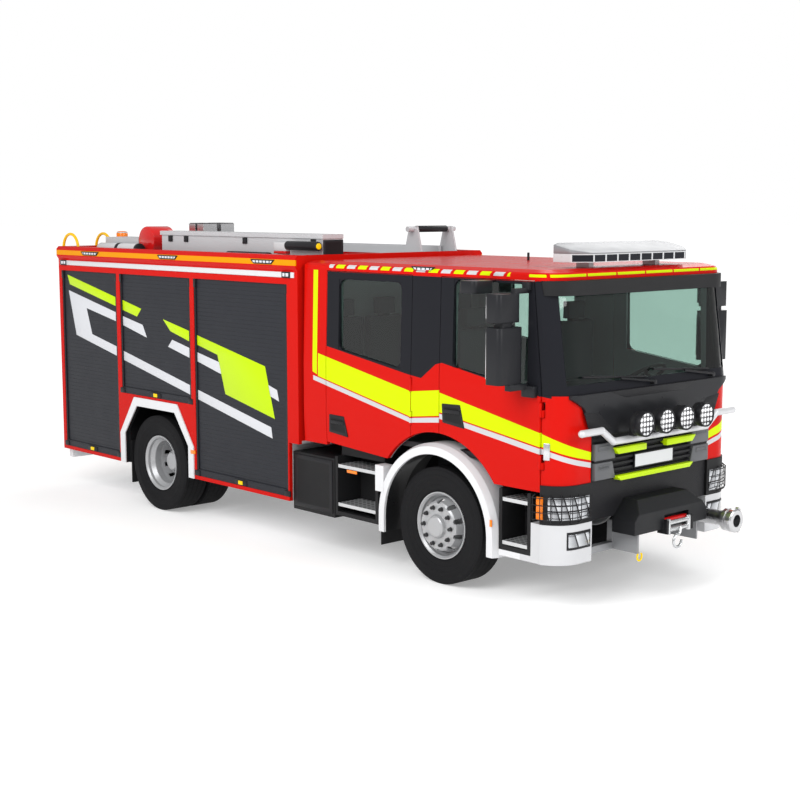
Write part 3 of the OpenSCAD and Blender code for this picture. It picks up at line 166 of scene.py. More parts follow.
class Finish:
    def __init__(self, name, colour, rough=0.4, metal=0.0, coat=0.0, grain=500.0, depth=0.0001,
                 vary=0.12, shine=0.2, edge=0.005):
        self.material = bpy.data.materials.new(name)
        self.tree = new_tree(self.material)
        self.bsdf = self.add("BsdfPrincipled", Metallic=metal, Coat_Weight=coat, Coat_Roughness=0.06,
                             Specular_IOR_Level=shine)
        self.link(self.bsdf.outputs[0], self.add("OutputMaterial").inputs[0])
        self.coords = self.add("TexCoord").outputs["Object"]
        split = self.add("SeparateXYZ")
        self.link(self.coords, split.inputs[0])
        self.x, self.y, self.z = split.outputs
        self.side = self.math("ABSOLUTE", self.y)
        self.colour = self.rgb(colour)
        self.lay([c * 0.72 for c in colour], self.times(self.noise(2.3, 4), vary))
        self.rough = self.math("MULTIPLY_ADD", self.noise(7.0, 3), 0.16, rough - 0.08)
        self.height = self.times(self.noise(grain, 3), depth)
        self.edge = edge

    def add(self, kind, **values):
        return add_node(self.tree, kind, **values)

    def link(self, source, target):
        if hasattr(source, "links"):
            self.tree.links.new(source, target)
        else:
            target.default_value = source

    def math(self, operation, *values):
        node = self.add("Math")
        node.operation = operation
        for socket, value in zip(node.inputs, values):
            self.link(value, socket)
        return node.outputs[0]

    def noise(self, scale, detail):
        node = self.add("TexNoise", Scale=scale, Detail=detail)
        self.link(self.coords, node.inputs["Vector"])
        return node.outputs["Fac"]

    def rgb(self, colour):
        node = self.add("RGB")
        node.outputs[0].default_value = (*colour, 1)
        return node.outputs[0]

    def over(self, value, limit):
        return self.math("GREATER_THAN", value, limit)

    def under(self, value, limit):
        return self.math("LESS_THAN", value, limit)

    def times(self, one, two):
        return self.math("MULTIPLY", one, two)

    def less(self, one, two):
        return self.math("SUBTRACT", one, two)

    def steps(self, value, rate):
        """Share of the way from one repeat to the next, with so many repeats to the metre."""
        return self.math("FRACT", self.times(value, rate))

    def zigzag(self, value, rate):
        return self.math("PINGPONG", self.times(value, rate), 1.0)

    def squares(self, one, two):
        return self.math("ADD", self.times(one, one), self.times(two, two))

    def reach(self, one, two):
        return self.math("POWER", self.squares(one, two), 0.5)

    def line(self, start, end, along=None):
        """Height of a slanted line, given two of its points as place along it and height."""
        slope = (end[1] - start[1]) / (end[0] - start[0])
        return self.math("MULTIPLY_ADD", along or self.x, slope, start[1] - slope * start[0])

    def within(self, value, low, high):
        return self.times(self.over(value, low), self.under(value, high))

    def both(self, *masks):
        result = masks[0]
        for mask in masks[1:]:
            result = self.times(result, mask)
        return result

    def zone(self, **spans):
        """Mask that is one between two limits along each direction named: x, z or side."""
        return self.both(*[self.within(getattr(self, way), *span) for way, span in spans.items()])

    def lay(self, colour, mask):
        node = self.add("Mix")
        node.data_type = "RGBA"
        self.link(mask, node.inputs[0])
        self.link(self.colour, node.inputs[6])
        self.link(self.rgb(colour), node.inputs[7])
        self.colour = node.outputs[2]

    def done(self):
        self.link(self.colour, self.bsdf.inputs["Base Color"])
        self.link(self.rough, self.bsdf.inputs["Roughness"])
        bump = self.add("Bump", Distance=1.0)
        self.link(self.height, bump.inputs["Height"])
        if self.edge:
            rounding = self.add("Bevel", Radius=self.edge)
            rounding.samples = 4
            self.link(rounding.outputs[0], bump.inputs["Normal"])
        self.link(bump.outputs[0], self.bsdf.inputs["Normal"])
        return self.material


def plain(name, colour, **look):
    return Finish(name, colour, **look).done()


def put(material, *names):
    for name in names:
        mesh = nodes[name].data
        mesh.materials.clear()
        mesh.materials.append(material)


RED = (0.54, 0.006, 0.003)
FLUO = (0.56, 0.70, 0.0)
AMBER = (0.70, 0.27, 0.0)
WHITE = (0.52, 0.52, 0.535)
CHARCOAL = (0.014, 0.0145, 0.018)
BLACK = (0.012, 0.012, 0.013)
LINING = (0.30, 0.30, 0.31)
FAR = 100.0
print("finish class ready")

# %% [markdown]
# ### Cab paint with its stripes
# The stripes on the cab are foil on paint. As foil has no thickness to speak of, it is painted by
# masks: each band lies between an upper and a lower line in X and Z. Black glazing round the side
# windows is done the same way, and the inside of the cab is turned grey.

# %% Cab paint
CAB_SKIN, SCREEN_BACK = 1.165, 3.43
BANDS = (
    (FLUO, ((0.81, 1.914), (1.972, 1.693)), ((0.815, 1.695), (1.983, 1.464)), 0.70, 1.985),
    (FLUO, ((1.985, 1.69), (2.345, 1.734)), ((1.985, 1.465), (2.345, 1.509)), 1.985, 2.348),
    (FLUO, ((2.351, 1.714), (3.516, 1.492)), ((2.351, 1.542), (3.518, 1.376)), 2.348, 3.525),
    (WHITE, ((0.815, 1.684), (1.983, 1.452)), ((0.815, 1.640), (1.983, 1.410)), 0.63, 1.985),
    (WHITE, ((1.985, 1.452), (2.345, 1.495)), ((1.985, 1.410), (2.345, 1.450)), 1.985, 2.348),
    (WHITE, ((2.351, 1.53), (3.519, 1.363)), ((2.351, 1.485), (3.52, 1.315)), 2.348, 3.525),
    (FLUO, ((0.61, 2.74), (0.72, 2.76)), ((0.61, 1.76), (0.80, 1.69)), 0.62, 0.685))
GLAZING_TOP = ((0, 2.712), (1, 2.712))
GLAZING = (
    (((0.801, 2.015), (1.956, 1.838)), 0.825, 1.956),
    (((1.956, 1.838), (2.12, 1.82)), 1.956, 2.12),
    (((2.12, 1.82), (2.30, 1.955)), 2.12, 2.30),
    (((2.30, 1.955), (2.375, 1.974)), 2.30, 2.375),
    (((2.375, 1.974), (3.489, 1.793)), 2.375, 3.75))
CORNER_BANDS = ((FLUO, (1.485, 1.317), (1.378, 1.25)), (WHITE, (1.363, 1.229), (1.318, 1.186)))
CORNER_START, CORNER_RUN, CORNER_SHIFT = 3.519, 0.575, 1.215 - 3.536


def red_paint(name, rough=0.24):
    return Finish(name, RED, rough=rough, coat=0.03, shine=0.05, grain=420.0, depth=0.00003, vary=0.10)


def cab_paint():
    paint = red_paint("cab_red", 0.22)

    def band(upper, lower, *span):
        return paint.zone(z=(paint.line(*lower), paint.line(*upper)), x=span, side=(CAB_SKIN, FAR))

    for colour, *place in BANDS:
        paint.lay(colour, band(*place))
    for place in GLAZING:
        paint.lay(CHARCOAL, band(GLAZING_TOP, *place))
    round_corner = paint.math("ADD", paint.less(paint.x, paint.side), CORNER_SHIFT)
    for colour, top, low in CORNER_BANDS:
        upper = paint.line((0, top[0]), (CORNER_RUN, top[1]), round_corner)
        lower = paint.line((0, low[0]), (CORNER_RUN, low[1]), round_corner)
        paint.lay(colour, paint.zone(x=(CORNER_START, FAR), z=(lower, upper)))
    paint.lay(CHARCOAL, paint.zone(x=(SCREEN_BACK, FAR), z=(1.795, 2.716)))
    paint.lay(LINING, paint.zone(x=(0.53, SCREEN_BACK), side=(-FAR, CAB_SKIN)))
    return paint.done()


put(cab_paint(), "cab_walls", "door_front_right", "door_front_left", "door_rear_right", "door_rear_left",
    "corner_panels")
print("cab painted")

# %% [markdown]
# ### Roof and equipment body paint
# A strip of yellow and white pieces runs along the edge of the cab roof, and a yellow one over the
# windscreen. The equipment body is the same red: its cornice carries an amber reflecting band along
# each side, the room round the rear wheels is painted black as shade and the underside of the roof is grey.

# %% Roof and body paint
WHEEL_ROOM = (REAR_AXLE - 0.72, REAR_AXLE + 0.72)


def roof_paint():
    paint = red_paint("cab_roof_red")
    slant = paint.math("MULTIPLY_ADD", paint.z, -0.6, paint.x)
    step = paint.math("FRACT", paint.math("MULTIPLY_ADD", slant, 1 / 0.31, 0.3))
    strip = paint.zone(x=(0.85, 3.15), z=(2.745, 2.778), side=(CAB_SKIN, FAR))
    paint.lay(FLUO, paint.both(strip, paint.within(step, 0.03, 0.40)))
    paint.lay(WHITE, paint.both(strip, paint.within(step, 0.53, 0.90)))
    brow = paint.zone(x=(3.36, FAR), z=(2.748, 2.770))
    paint.lay(FLUO, paint.both(brow, paint.over(paint.steps(paint.y, 2.6), 0.05)))
    paint.lay(LINING, paint.zone(x=(0.52, 3.42), z=(-FAR, 2.777), side=(-FAR, 1.10)))
    return paint.done()


def wall_paint():
    paint = red_paint("body_red")
    # The inner walls round the rear wheels are painted black: painted shade in the wheel room.
    paint.lay(BLACK, paint.zone(x=WHEEL_ROOM, z=(-FAR, 1.2), side=(-FAR, 1.2485)))
    return paint.done()


def cornice_paint():
    paint = red_paint("cornice_red")
    paint.lay(AMBER, paint.zone(z=(2.752, 2.806), side=(1.262, FAR)))
    paint.lay((0.33, 0.34, 0.35), paint.zone(z=(2.72, 2.764), side=(-FAR, 1.15)))
    return paint.done()


put(roof_paint(), "cab_roof")
put(wall_paint(), "body_walls")
put(cornice_paint(), "body_roof")
print("roof and body painted")

# %% [markdown]
# ### Plain finishes
# Black plastic has a visible grain, satin metal a soft sheen, the frame a dull dark coat, and the
# wheels a silver lacquer. Each is one finish for all its pieces.

# %% Plastics, metals and lacquers
COAT_GREY = (0.56, 0.565, 0.58)
put(plain("black_plastic", BLACK, rough=0.55, grain=900.0, depth=0.0003),
    "side_skirts", "mudguards", "sun_visor", "dashboard", "lamps")
put(plain("satin_dark", (0.014, 0.0145, 0.017), rough=0.36, grain=1200.0, depth=0.00005, edge=0.014),
    "mirrors_right", "mirrors_left", "cab_floor")
put(plain("winch_black", (0.010, 0.0105, 0.012), rough=0.42, grain=900.0, edge=0.014),
    "winch")
put(plain("anthracite_front", (0.020, 0.0205, 0.023), rough=0.30, metal=0.2, grain=1500.0,
          depth=0.00003, edge=0.012), "front_lid")
put(plain("frame_coat", (0.025, 0.026, 0.028), rough=0.6, grain=90.0, depth=0.0006, vary=0.4),
    "chassis_frame", "front_axle", "rear_axle", "leaf_springs", "engine", "propeller_shaft",
    "knuckle_right", "knuckle_left", "tie_rod")
put(plain("silver_lacquer", (0.42, 0.425, 0.435), rough=0.36, metal=0.4, grain=300.0),
    "rim_front_right", "rim_front_left", "rims_rear_right", "rims_rear_left")
put(plain("grey_coat", COAT_GREY, rough=0.38, metal=0.3),
    "roof_box", "roof_box_lid", "roof_gear")
put(plain("bright_metal", (0.55, 0.55, 0.56), rough=0.28, metal=1.0, grain=800.0),
    "outlet_coupling", "light_mast")
put(plain("yellow_coat", (0.85, 0.50, 0.01), rough=0.4, grain=300.0), "rear_ladder")
print("plain finishes on")

# %% [markdown]
# ### Patterned finishes
# The grille is a lattice of slanted wires, the light bar a row of dark windows and the step treads are
# pierced sheet. On the front frame the lamp bar is lighter than the plates below it. Tubs and arches
# are painted black on the side toward the wheel: painted shade in the recess round the wheel.

# %% Lattice, windows, treads and arches
LAMP_BAR_LOW, BUMPER_BACK = 1.2, 3.3
ARCH_R, ARCH_LIP = 0.6585, 1.226


def grille_black():
    coat = Finish("grille_black", (0.012, 0.012, 0.014), rough=0.45)
    rising = coat.steps(coat.math("ADD", coat.y, coat.z), 42.0)
    falling = coat.steps(coat.less(coat.y, coat.z), 42.0)
    wires = coat.math("MAXIMUM", coat.over(rising, 0.72), coat.over(falling, 0.72))
    coat.height = coat.times(wires, 0.004)
    return coat.done()


def tub_grey():
    coat = Finish("tub_grey", COAT_GREY, rough=0.38, metal=0.3)
    # The tub round the rear wheels is painted black: painted shade in the wheel room.
    coat.lay(BLACK, coat.zone(x=WHEEL_ROOM, z=(-FAR, 1.3)))
    return coat.done()


def bracket_grey():
    coat = Finish("bracket_grey", (0.27, 0.275, 0.285), rough=0.42, metal=0.3)
    coat.lay((0.60, 0.605, 0.62), coat.over(coat.z, LAMP_BAR_LOW))
    return coat.done()


def light_bar_coat():
    coat = Finish("light_bar_coat", (0.62, 0.63, 0.64), rough=0.3, metal=0.3)
    windows = coat.within(coat.steps(coat.y, 1 / 0.155), 0.06, 0.94)
    coat.lay((0.012, 0.013, 0.018), coat.both(coat.within(coat.z, 2.861, 2.917), windows))
    return coat.done()


def tread_metal():
    coat = Finish("tread_metal", (0.60, 0.61, 0.62), rough=0.34, metal=0.6)
    hole = coat.over(coat.times(coat.zigzag(coat.x, 34.0), coat.zigzag(coat.y, 40.0)), 0.34)
    coat.lay((0.05, 0.05, 0.055), hole)
    coat.height = coat.times(hole, -0.004)
    return coat.done()


def white_lacquer():
    coat = Finish("white_lacquer", (0.68, 0.685, 0.70), rough=0.3, coat=0.2, grain=420.0, depth=0.00003,
                  vary=0.06)
    # The arch trims are painted a lighter white than the bumpers of the same lacquer: painted light to lift
    # the arches out of their shade.
    coat.lay((0.55, 0.555, 0.57), coat.over(coat.x, BUMPER_BACK))
    # From here the inner face of the front arch is painted black: painted shade toward the wheel.
    above = coat.math("MAXIMUM", coat.less(coat.z, AXLE_Z), 0.0)
    arch = coat.reach(coat.less(coat.x, FRONT_AXLE), above)
    coat.lay(BLACK, coat.both(coat.under(arch, ARCH_R), coat.under(coat.side, ARCH_LIP)))
    return coat.done()


put(grille_black(), "grille")
put(tub_grey(), "body_floor")
put(bracket_grey(), "front_frame")
put(light_bar_coat(), "light_bar")
put(tread_metal(), "step_treads")
put(white_lacquer(), "arch_trims", "bumpers")
print("patterned finishes on")

# %% [markdown]
# ### Shutters and tyres
# A roller shutter is a curtain of narrow slats, so a dark seam is cut at every slat's edge. A tyre's
# tread runs round its axle: the angle about the axle and the place across the tread give the grooves,
# and rings about the axle mark the side wall.

# %% Shutters and tyres
SLAT_PITCH, TREAD_START = 0.042, 0.515


def slat_finish():
    slats = Finish("shutter_slats", (0.016, 0.0175, 0.023), rough=0.42, vary=0.05)
    seam = slats.under(slats.steps(slats.z, 1 / SLAT_PITCH), 0.10)
    slats.height = slats.times(seam, -0.0012)
    slats.lay((0.004, 0.004, 0.005), slats.times(seam, 0.30))
    return slats.done()


def tyre_rubber(name, axle_x):
    rubber = Finish(name, (0.011, 0.011, 0.012), rough=0.72, shine=0.1)
    ahead = rubber.less(rubber.x, axle_x)
    above = rubber.less(rubber.z, AXLE_Z)
    turn = rubber.math("ARCTAN2", above, ahead)
    radius = rubber.reach(ahead, above)
    wave = rubber.math("MULTIPLY_ADD", rubber.zigzag(turn, 60.0), 0.010, rubber.y)
    groove = rubber.under(rubber.steps(wave, 1 / 0.062), 0.20)
    sipe = rubber.under(rubber.steps(turn, 14.0), 0.12)
    ring = rubber.under(rubber.steps(radius, 1 / 0.045), 0.09)
    cut = rubber.times(rubber.over(radius, TREAD_START), rubber.math("MAXIMUM", groove, sipe))
    rubber.height = rubber.math("ADD", rubber.times(cut, -0.010), rubber.times(ring, 0.0016))
    # The grooves are painted darker than the rubber round them: painted shade in the recesses of the tread.
    rubber.lay((0.003, 0.003, 0.003), rubber.times(cut, 0.8))
    return rubber.done()


put(slat_finish(), "shutters")
put(tyre_rubber("tyre_front", FRONT_AXLE), "tyre_front_right", "tyre_front_left")
put(tyre_rubber("tyre_rear", REAR_AXLE), "tyres_rear_right", "tyres_rear_left")
print("shutters and tyres on")

# %% [markdown]
# ### Glass
# Cab glass is lightly green and clear enough to show the seats. A thin pane needs no bending of the
# light, so a transparent shader is mixed with a glossy one by the angle of view, on the outer face.

# %% Glass


def clear_glass(name, tint, dark):
    material = bpy.data.materials.new(name)
    tree = new_tree(material)
    out = add_node(tree, "OutputMaterial")
    mix = add_node(tree, "MixShader")
    clear = add_node(tree, "BsdfTransparent", Color=(*[c * dark for c in tint], 1))
    gloss = add_node(tree, "BsdfGlossy", Roughness=0.02)
    edge = add_node(tree, "Fresnel", IOR=1.5)
    side = add_node(tree, "NewGeometry")
    outer = add_node(tree, "Math")
    outer.operation = "SUBTRACT"
    outer.use_clamp = True
    wire(tree, (edge, 0, outer, 0), (side, "Backfacing", outer, 1), (outer, 0, mix, 0),
         (clear, 0, mix, 1), (gloss, 0, mix, 2), (mix, 0, out, 0))
    return material


put(clear_glass("cab_glass", (0.84, 0.95, 0.91), 0.86), "windscreen", "glass_front_right",
    "glass_front_left", "glass_rear_right", "glass_rear_left")
print("glass on")

# %% [markdown]
# ## Small pieces
# What the solids leave out is modelled by hand steps: a primitive at its size and place, shaped in
# edit mode, its edges softened by a bevel. A few short helpers hold the steps that repeat.

# %% Helpers that shape a piece


def pick(piece):
    """Make one piece the only selected one, ready for the next step."""
    clear_selection()
    piece.select_set(True)
    bpy.context.view_layer.objects.active = piece


def edit_all():
    bpy.ops.object.mode_set(mode="EDIT")
    bpy.ops.mesh.select_all(action="SELECT")


def leave_edit():
    bpy.ops.object.mode_set(mode="OBJECT")


def wear(piece, material):
    piece.data.materials.clear()
    piece.data.materials.append(material)
    return piece


def soften(piece, width):
    pick(piece)
    bevel = piece.modifiers.new("soft_edges", "BEVEL")
    bevel.width = width
    bevel.segments = 2
    bevel.limit_method = "ANGLE"
    bpy.ops.object.modifier_apply(modifier=bevel.name)
    bpy.ops.object.shade_smooth_by_angle(angle=0.6)
    return piece


def block(low, high):
    """A cube stretched between two opposite corners."""
    clear_selection()
    bpy.ops.mesh.primitive_cube_add(size=1, location=[(a + b) / 2 for a, b in zip(low, high)])
    piece = bpy.context.object
    piece.scale = [abs(b - a) for a, b in zip(low, high)]
    bpy.ops.object.transform_apply(location=True, rotation=True, scale=True)
    return piece


def box(material, low, high, soft=0.004):
    return wear(soften(block(low, high), soft), material)


def rod(material, start, end, radius, soft=0.003, sides=32):
    clear_selection()
    along = Vector(end) - Vector(start)
    bpy.ops.mesh.primitive_cylinder_add(vertices=sides, radius=radius, depth=along.length,
                                        location=(Vector(start) + Vector(end)) / 2,
                                        rotation=along.to_track_quat("Z", "Y").to_euler())
    bpy.ops.object.transform_apply(location=True, rotation=True, scale=True)
    return wear(soften(bpy.context.object, soft), material)


def plate(material, outline, axis, low, high, soft=0.001):
    """Draw an outline square to an axis and raise it from low to high along that axis."""
    clear_selection()
    bpy.ops.mesh.primitive_circle_add(vertices=len(outline), fill_type="NGON")
    piece = bpy.context.object
    place = "XYZ".index(axis)
    for vertex, flat_point in zip(piece.data.vertices, outline):
        point = list(flat_point)
        point.insert(place, low)
        vertex.co = point
    edit_all()
    rise = [(high - low) * (i == place) for i in range(3)]
    bpy.ops.mesh.extrude_region_move(TRANSFORM_OT_translate={"value": rise})
    bpy.ops.mesh.select_all(action="SELECT")
    bpy.ops.mesh.normals_make_consistent(inside=False)
    leave_edit()
    return wear(soften(piece, soft), material)


def bent_rod(material, points, radius):
    route = bpy.data.curves.new("route", "CURVE")
    route.dimensions = "3D"
    route.bevel_depth = radius
    route.bevel_resolution = 3
    route.use_fill_caps = True
    spline = route.splines.new("POLY")
    spline.points.add(len(points) - 1)
    for knot, point in zip(spline.points, points):
        knot.co = (*point, 1)
    piece = bpy.data.objects.new("bent_rod", route)
    bpy.context.collection.objects.link(piece)
    pick(piece)
    bpy.ops.object.convert(target="MESH")
    bpy.ops.object.shade_smooth()
    return wear(bpy.context.object, material)


def sink_face(piece, toward, rim, depth, material):
    """Inset the widest face that looks one way, push it in and give it its own material."""
    piece.data.materials.append(material)
    pick(piece)
    bpy.ops.object.mode_set(mode="EDIT")
    bpy.ops.mesh.select_mode(type="FACE")
    bpy.ops.mesh.select_all(action="DESELECT")
    leave_edit()
    facing = [face for face in piece.data.polygons if face.normal.dot(Vector(toward)) > 0.98]
    max(facing, key=lambda face: face.area).select = True
    bpy.ops.object.mode_set(mode="EDIT")
    bpy.ops.mesh.inset(thickness=rim, depth=-depth)
    piece.active_material_index = len(piece.data.materials) - 1
    bpy.ops.object.material_slot_assign()
    leave_edit()
    return piece


print("shaping helpers ready")

# %% [markdown]
# ### Copies, mirror images and names
# What repeats is made once and copied, and each copy has its own mesh. A piece that is alike on both
# sides is mirrored in itself, and one that moves with a door or a wheel gets a twin on the other side.
# The last step names the piece and says which body it rides on.

# %% Helpers that copy and name


def copy_moved(piece, move):
    copy = piece.copy()
    copy.data = piece.data.copy()
    copy.data.transform(move)
    bpy.context.collection.objects.link(copy)
    return copy


def joined(pieces):
    clear_selection()
    for piece in pieces:
        piece.select_set(True)
    bpy.context.view_layer.objects.active = pieces[0]
    bpy.ops.object.join()
    return bpy.context.object


def mirrored(piece):
    """Add the same shape on the other side of the vehicle, in the same piece."""
    pick(piece)
    flip = piece.modifiers.new("other_side", "MIRROR")
    flip.use_axis = (False, True, False)
    flip.use_mirror_merge = False
    bpy.ops.object.modifier_apply(modifier=flip.name)
    return piece


def finish(piece, name, body="chassis"):
    piece.name = name
    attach(piece, body)
    print(name, "has", len(piece.data.polygons), "faces")
    return piece


def on_both(piece, name, body):
    """Finish a piece on the right, and its twin on the left with its faces turned the right way out."""
    finish(piece, name + "_right", body + "_right")
    copy = copy_moved(piece, Matrix.Scale(-1, 4, Vector((0, 1, 0))))
    pick(copy)
    edit_all()
    bpy.ops.mesh.flip_normals()
    leave_edit()
    finish(copy, name + "_left", body + "_left")


print("copying helpers ready")

# %% [markdown]
# ### Materials of the small pieces
# Reflecting foil is bright and even. Lamp lenses are clear plastic over mirrors, so they are given a
# smooth metal look broken up by slanted facets. Driving lamps show a field of round light cells, and
# flashers a row of square ones. Marker lamps are coloured plastic with a clear coat.

# %% Foils, lenses and trims
lime_foil = plain("lime_foil", (0.48, 0.70, 0.0), rough=0.35, grain=900.0, depth=0.00002, vary=0.04, edge=0)
silver_foil = plain("silver_foil", (0.60, 0.61, 0.64), rough=0.35, grain=900.0, depth=0.00002, vary=0.05,
                    edge=0)
black_trim = plain("black_trim", (0.014, 0.014, 0.016), rough=0.42, grain=1200.0)
satin_black = plain("satin_black", (0.008, 0.008, 0.009), rough=0.5, grain=1200.0)
amber_lens = plain("amber_lens", (0.95, 0.22, 0.005), rough=0.16, coat=0.6)
red_lens = plain("red_lens", (0.60, 0.008, 0.008), rough=0.16, coat=0.6)
white_plastic = plain("white_plastic", (0.60, 0.61, 0.62), rough=0.35, coat=0.3, grain=700.0, depth=0.00003)
yellow_plastic = plain("yellow_plastic", (0.90, 0.62, 0.0), rough=0.4, grain=700.0)
tin = plain("bare_tin", (0.60, 0.61, 0.62), rough=0.26, metal=0.9, grain=900.0)
dark_steel = plain("dark_steel", (0.06, 0.06, 0.062), rough=0.3, metal=0.7, grain=900.0)
step_grey = plain("step_grey", (0.12, 0.123, 0.13), rough=0.42, metal=0.2, grain=1400.0, depth=0.00008)
mirror_face = plain("mirror_face", (0.85, 0.86, 0.87), rough=0.10, metal=1.0, grain=900.0, depth=0.0,
                    vary=0.02)
cover_grey = plain("light_bar_cover_grey", (0.25, 0.254, 0.265), rough=0.35, metal=0.2)
frame_black = plain("window_frame_black", CHARCOAL, rough=0.22, coat=0.03, shine=0.05, grain=420.0,
                    depth=0.00003)


def led_lens(name, pitch):
    lens = Finish(name, (0.05, 0.05, 0.055), rough=0.18, metal=0.4, coat=0.6, grain=900.0, depth=0.00002)
    across = lens.less(lens.steps(lens.y, 1 / pitch), 0.5)
    upward = lens.less(lens.steps(lens.z, 1 / pitch), 0.5)
    lens.lay((0.93, 0.94, 0.96), lens.under(lens.squares(across, upward), 0.15))
    return lens.done()


def facet_lens(name):
    lens = Finish(name, (0.66, 0.68, 0.71), rough=0.10, metal=0.8, coat=0.8, grain=60.0, depth=0.0004,
                  vary=0.3)
    round_corner = lens.less(lens.x, lens.side)
    facet = lens.math("FRACT", lens.math("MULTIPLY_ADD", lens.z, 3.5, lens.times(round_corner, 8.0)))
    lens.lay((0.10, 0.105, 0.115), lens.times(facet, 0.75))
    for mask in (lens.under(facet, 0.14), lens.within(lens.z, 0.846, 0.858)):
        lens.lay((0.02, 0.02, 0.022), mask)
    lens.height = lens.math("MULTIPLY_ADD", facet, 0.01, lens.height)
    return lens.done()


def cell_row(name, pitch):
    row = Finish(name, (0.02, 0.02, 0.023), rough=0.2, coat=0.5, grain=900.0, depth=0.00002)
    row.lay((0.62, 0.64, 0.68), row.within(row.steps(row.x, 1 / pitch), 0.14, 0.86))
    return row.done()


lamp_cells = led_lens("lamp_cells", 0.042)
lamp_mirror = facet_lens("lamp_mirror")
flash_cells = cell_row("flash_cells", 0.055)
print("trim materials ready")

# %% [markdown]
# ### Stripes on the shutters
# The broad slanted stripes on the roller shutters are cut from foil. Each stripe is an outline in X
# and Z, raised one millimetre, and the other side of the vehicle carries its mirror image.

# %% Shutter stripes
SHUTTER_Y, FOIL = -1.232, 0.001
LIME_STRIPES = (
    ((-3.87, 2.52), (-2.81, 2.30), (-2.81, 2.20), (-3.82, 2.41)),
    ((-2.69, 2.28), (-2.31, 2.20), (-2.40, 2.11), (-2.69, 2.17)),
    ((-1.89, 2.11), (-1.38, 2.01), (-1.38, 1.90), (-1.75, 1.99)),
    ((-1.26, 1.98), (-0.10, 1.745), (0.05, 1.235), (-0.77, 1.405), (-0.90, 1.80), (-1.26, 1.88)))
SILVER_STRIPES = (
    ((-3.85, 2.34), (-2.81, 2.13), (-2.81, 2.03), (-3.46, 2.15), (-3.35, 1.855), (-2.81, 1.745),
     (-2.81, 1.64), (-3.70, 1.825)),
    ((-2.69, 2.10), (-2.29, 2.025), (-2.21, 1.89), (-2.69, 2.00)),
    ((-2.69, 1.71), (-1.38, 1.435), (-1.38, 1.335), (-2.69, 1.61)),
    ((-1.72, 1.90), (-1.38, 1.83), (-1.38, 1.725), (-1.80, 1.82)),
    ((-1.26, 1.80), (-0.87, 1.725), (-0.84, 1.605), (-1.26, 1.705)),
    ((-1.26, 1.405), (-0.01, 1.145), (0.01, 1.035), (-1.26, 1.305)),
    ((-0.05, 1.565), (0.09, 1.525), (0.12, 1.415), (-0.02, 1.455)))
for name, foil, stripes in (("stripes_lime", lime_foil, LIME_STRIPES),
                            ("stripes_silver", silver_foil, SILVER_STRIPES)):
    cut = [plate(foil, outline, "Y", SHUTTER_Y, SHUTTER_Y - FOIL, 0.0003) for outline in stripes]
    finish(mirrored(joined(cut)), name)

# %% [markdown]
# ### Guides and latches of the shutters
# Each curtain runs in two black guides. Its bottom bar has black corner blocks and a latch with a
# yellow grip in the middle, so one shutter's set is made from its span and its lower edge, three times.

# %% Shutter guides and latches
SHUTTERS = ((-3.97, -2.7875, 0.49), (-2.7125, -1.3575, 1.24), (-1.2825, 0.275, 0.49))
SHUTTER_TOP, GUIDE_HALF, BLOCK_BACK = 2.57, 0.014, -1.240


def on_curtain(material, x, half, depths, heights, soft):
    """A block centred on x, between two places across the vehicle and two heights."""
    return box(material, (x - half, depths[0], heights[0]), (x + half, depths[1], heights[1]), soft)


guides, blocks, grips = [], [], []
for back, front, low in SHUTTERS:
    middle = (back + front) / 2
    for x in (back + GUIDE_HALF, front - GUIDE_HALF):
        guides.append(on_curtain(black_trim, x, GUIDE_HALF, (-1.246, -1.230), (low, SHUTTER_TOP), 0.003))
        blocks.append(on_curtain(black_trim, x, 0.045, (-1.256, BLOCK_BACK), (low, low + 0.06), 0.006))
        blocks.append(on_curtain(black_trim, x, 0.02, (-1.252, BLOCK_BACK),
                                 (SHUTTER_TOP - 0.09, SHUTTER_TOP), 0.004))
    blocks.append(on_curtain(black_trim, middle, 0.10, (-1.254, BLOCK_BACK),
                             (low + 0.005, low + 0.062), 0.006))
    grips.append(on_curtain(yellow_plastic, middle, 0.035, (-1.260, -1.250),
                            (low + 0.012, low + 0.05), 0.003))
finish(mirrored(joined(guides)), "shutter_guides")
finish(mirrored(joined(blocks)), "shutter_blocks")
finish(mirrored(joined(grips)), "shutter_grips")

# %% [markdown]
# ### Light bar cover
# The moulded cover of the light bar rises toward the back, so its top is seen from the road. It is
# the bar's own outline raised a little, and each point of it is then lowered the nearer it is to the
# front edge.

# %% Light bar cover
BAR_BACK, BAR_FRONT, BAR_HALF = FRONT_AXLE + 0.874, FRONT_AXLE + 1.244, 0.775
COVER_LOW, COVER_HIGH, COVER_LIP = ROOF_Z + 0.1203, ROOF_Z + 0.208, 0.1
bar_side = [(BAR_BACK, BAR_HALF - 0.12), (BAR_BACK + 0.06, BAR_HALF), (BAR_BACK + 0.25, BAR_HALF),
            (BAR_FRONT, BAR_HALF - 0.14)]
bar_outline = bar_side + [(x, -y) for x, y in reversed(bar_side)]
cover = plate(cover_grey, bar_outline, "Z", COVER_LOW, COVER_HIGH, 0.006)
for vertex in cover.data.vertices:
    back_share = (BAR_FRONT - vertex.co.x) / (BAR_FRONT - BAR_BACK)
    vertex.co.z = COVER_LOW + (vertex.co.z - COVER_LOW) * (COVER_LIP + (1 - COVER_LIP) * back_share)
finish(cover, "light_bar_cover")

# %% [markdown]
# ### Light strip and flashers
# A white light strip runs under the cornice, with a work lamp at each end. Three slim flashers with
# slanted ends sit on the amber band, and one on the edge of the cab roof.

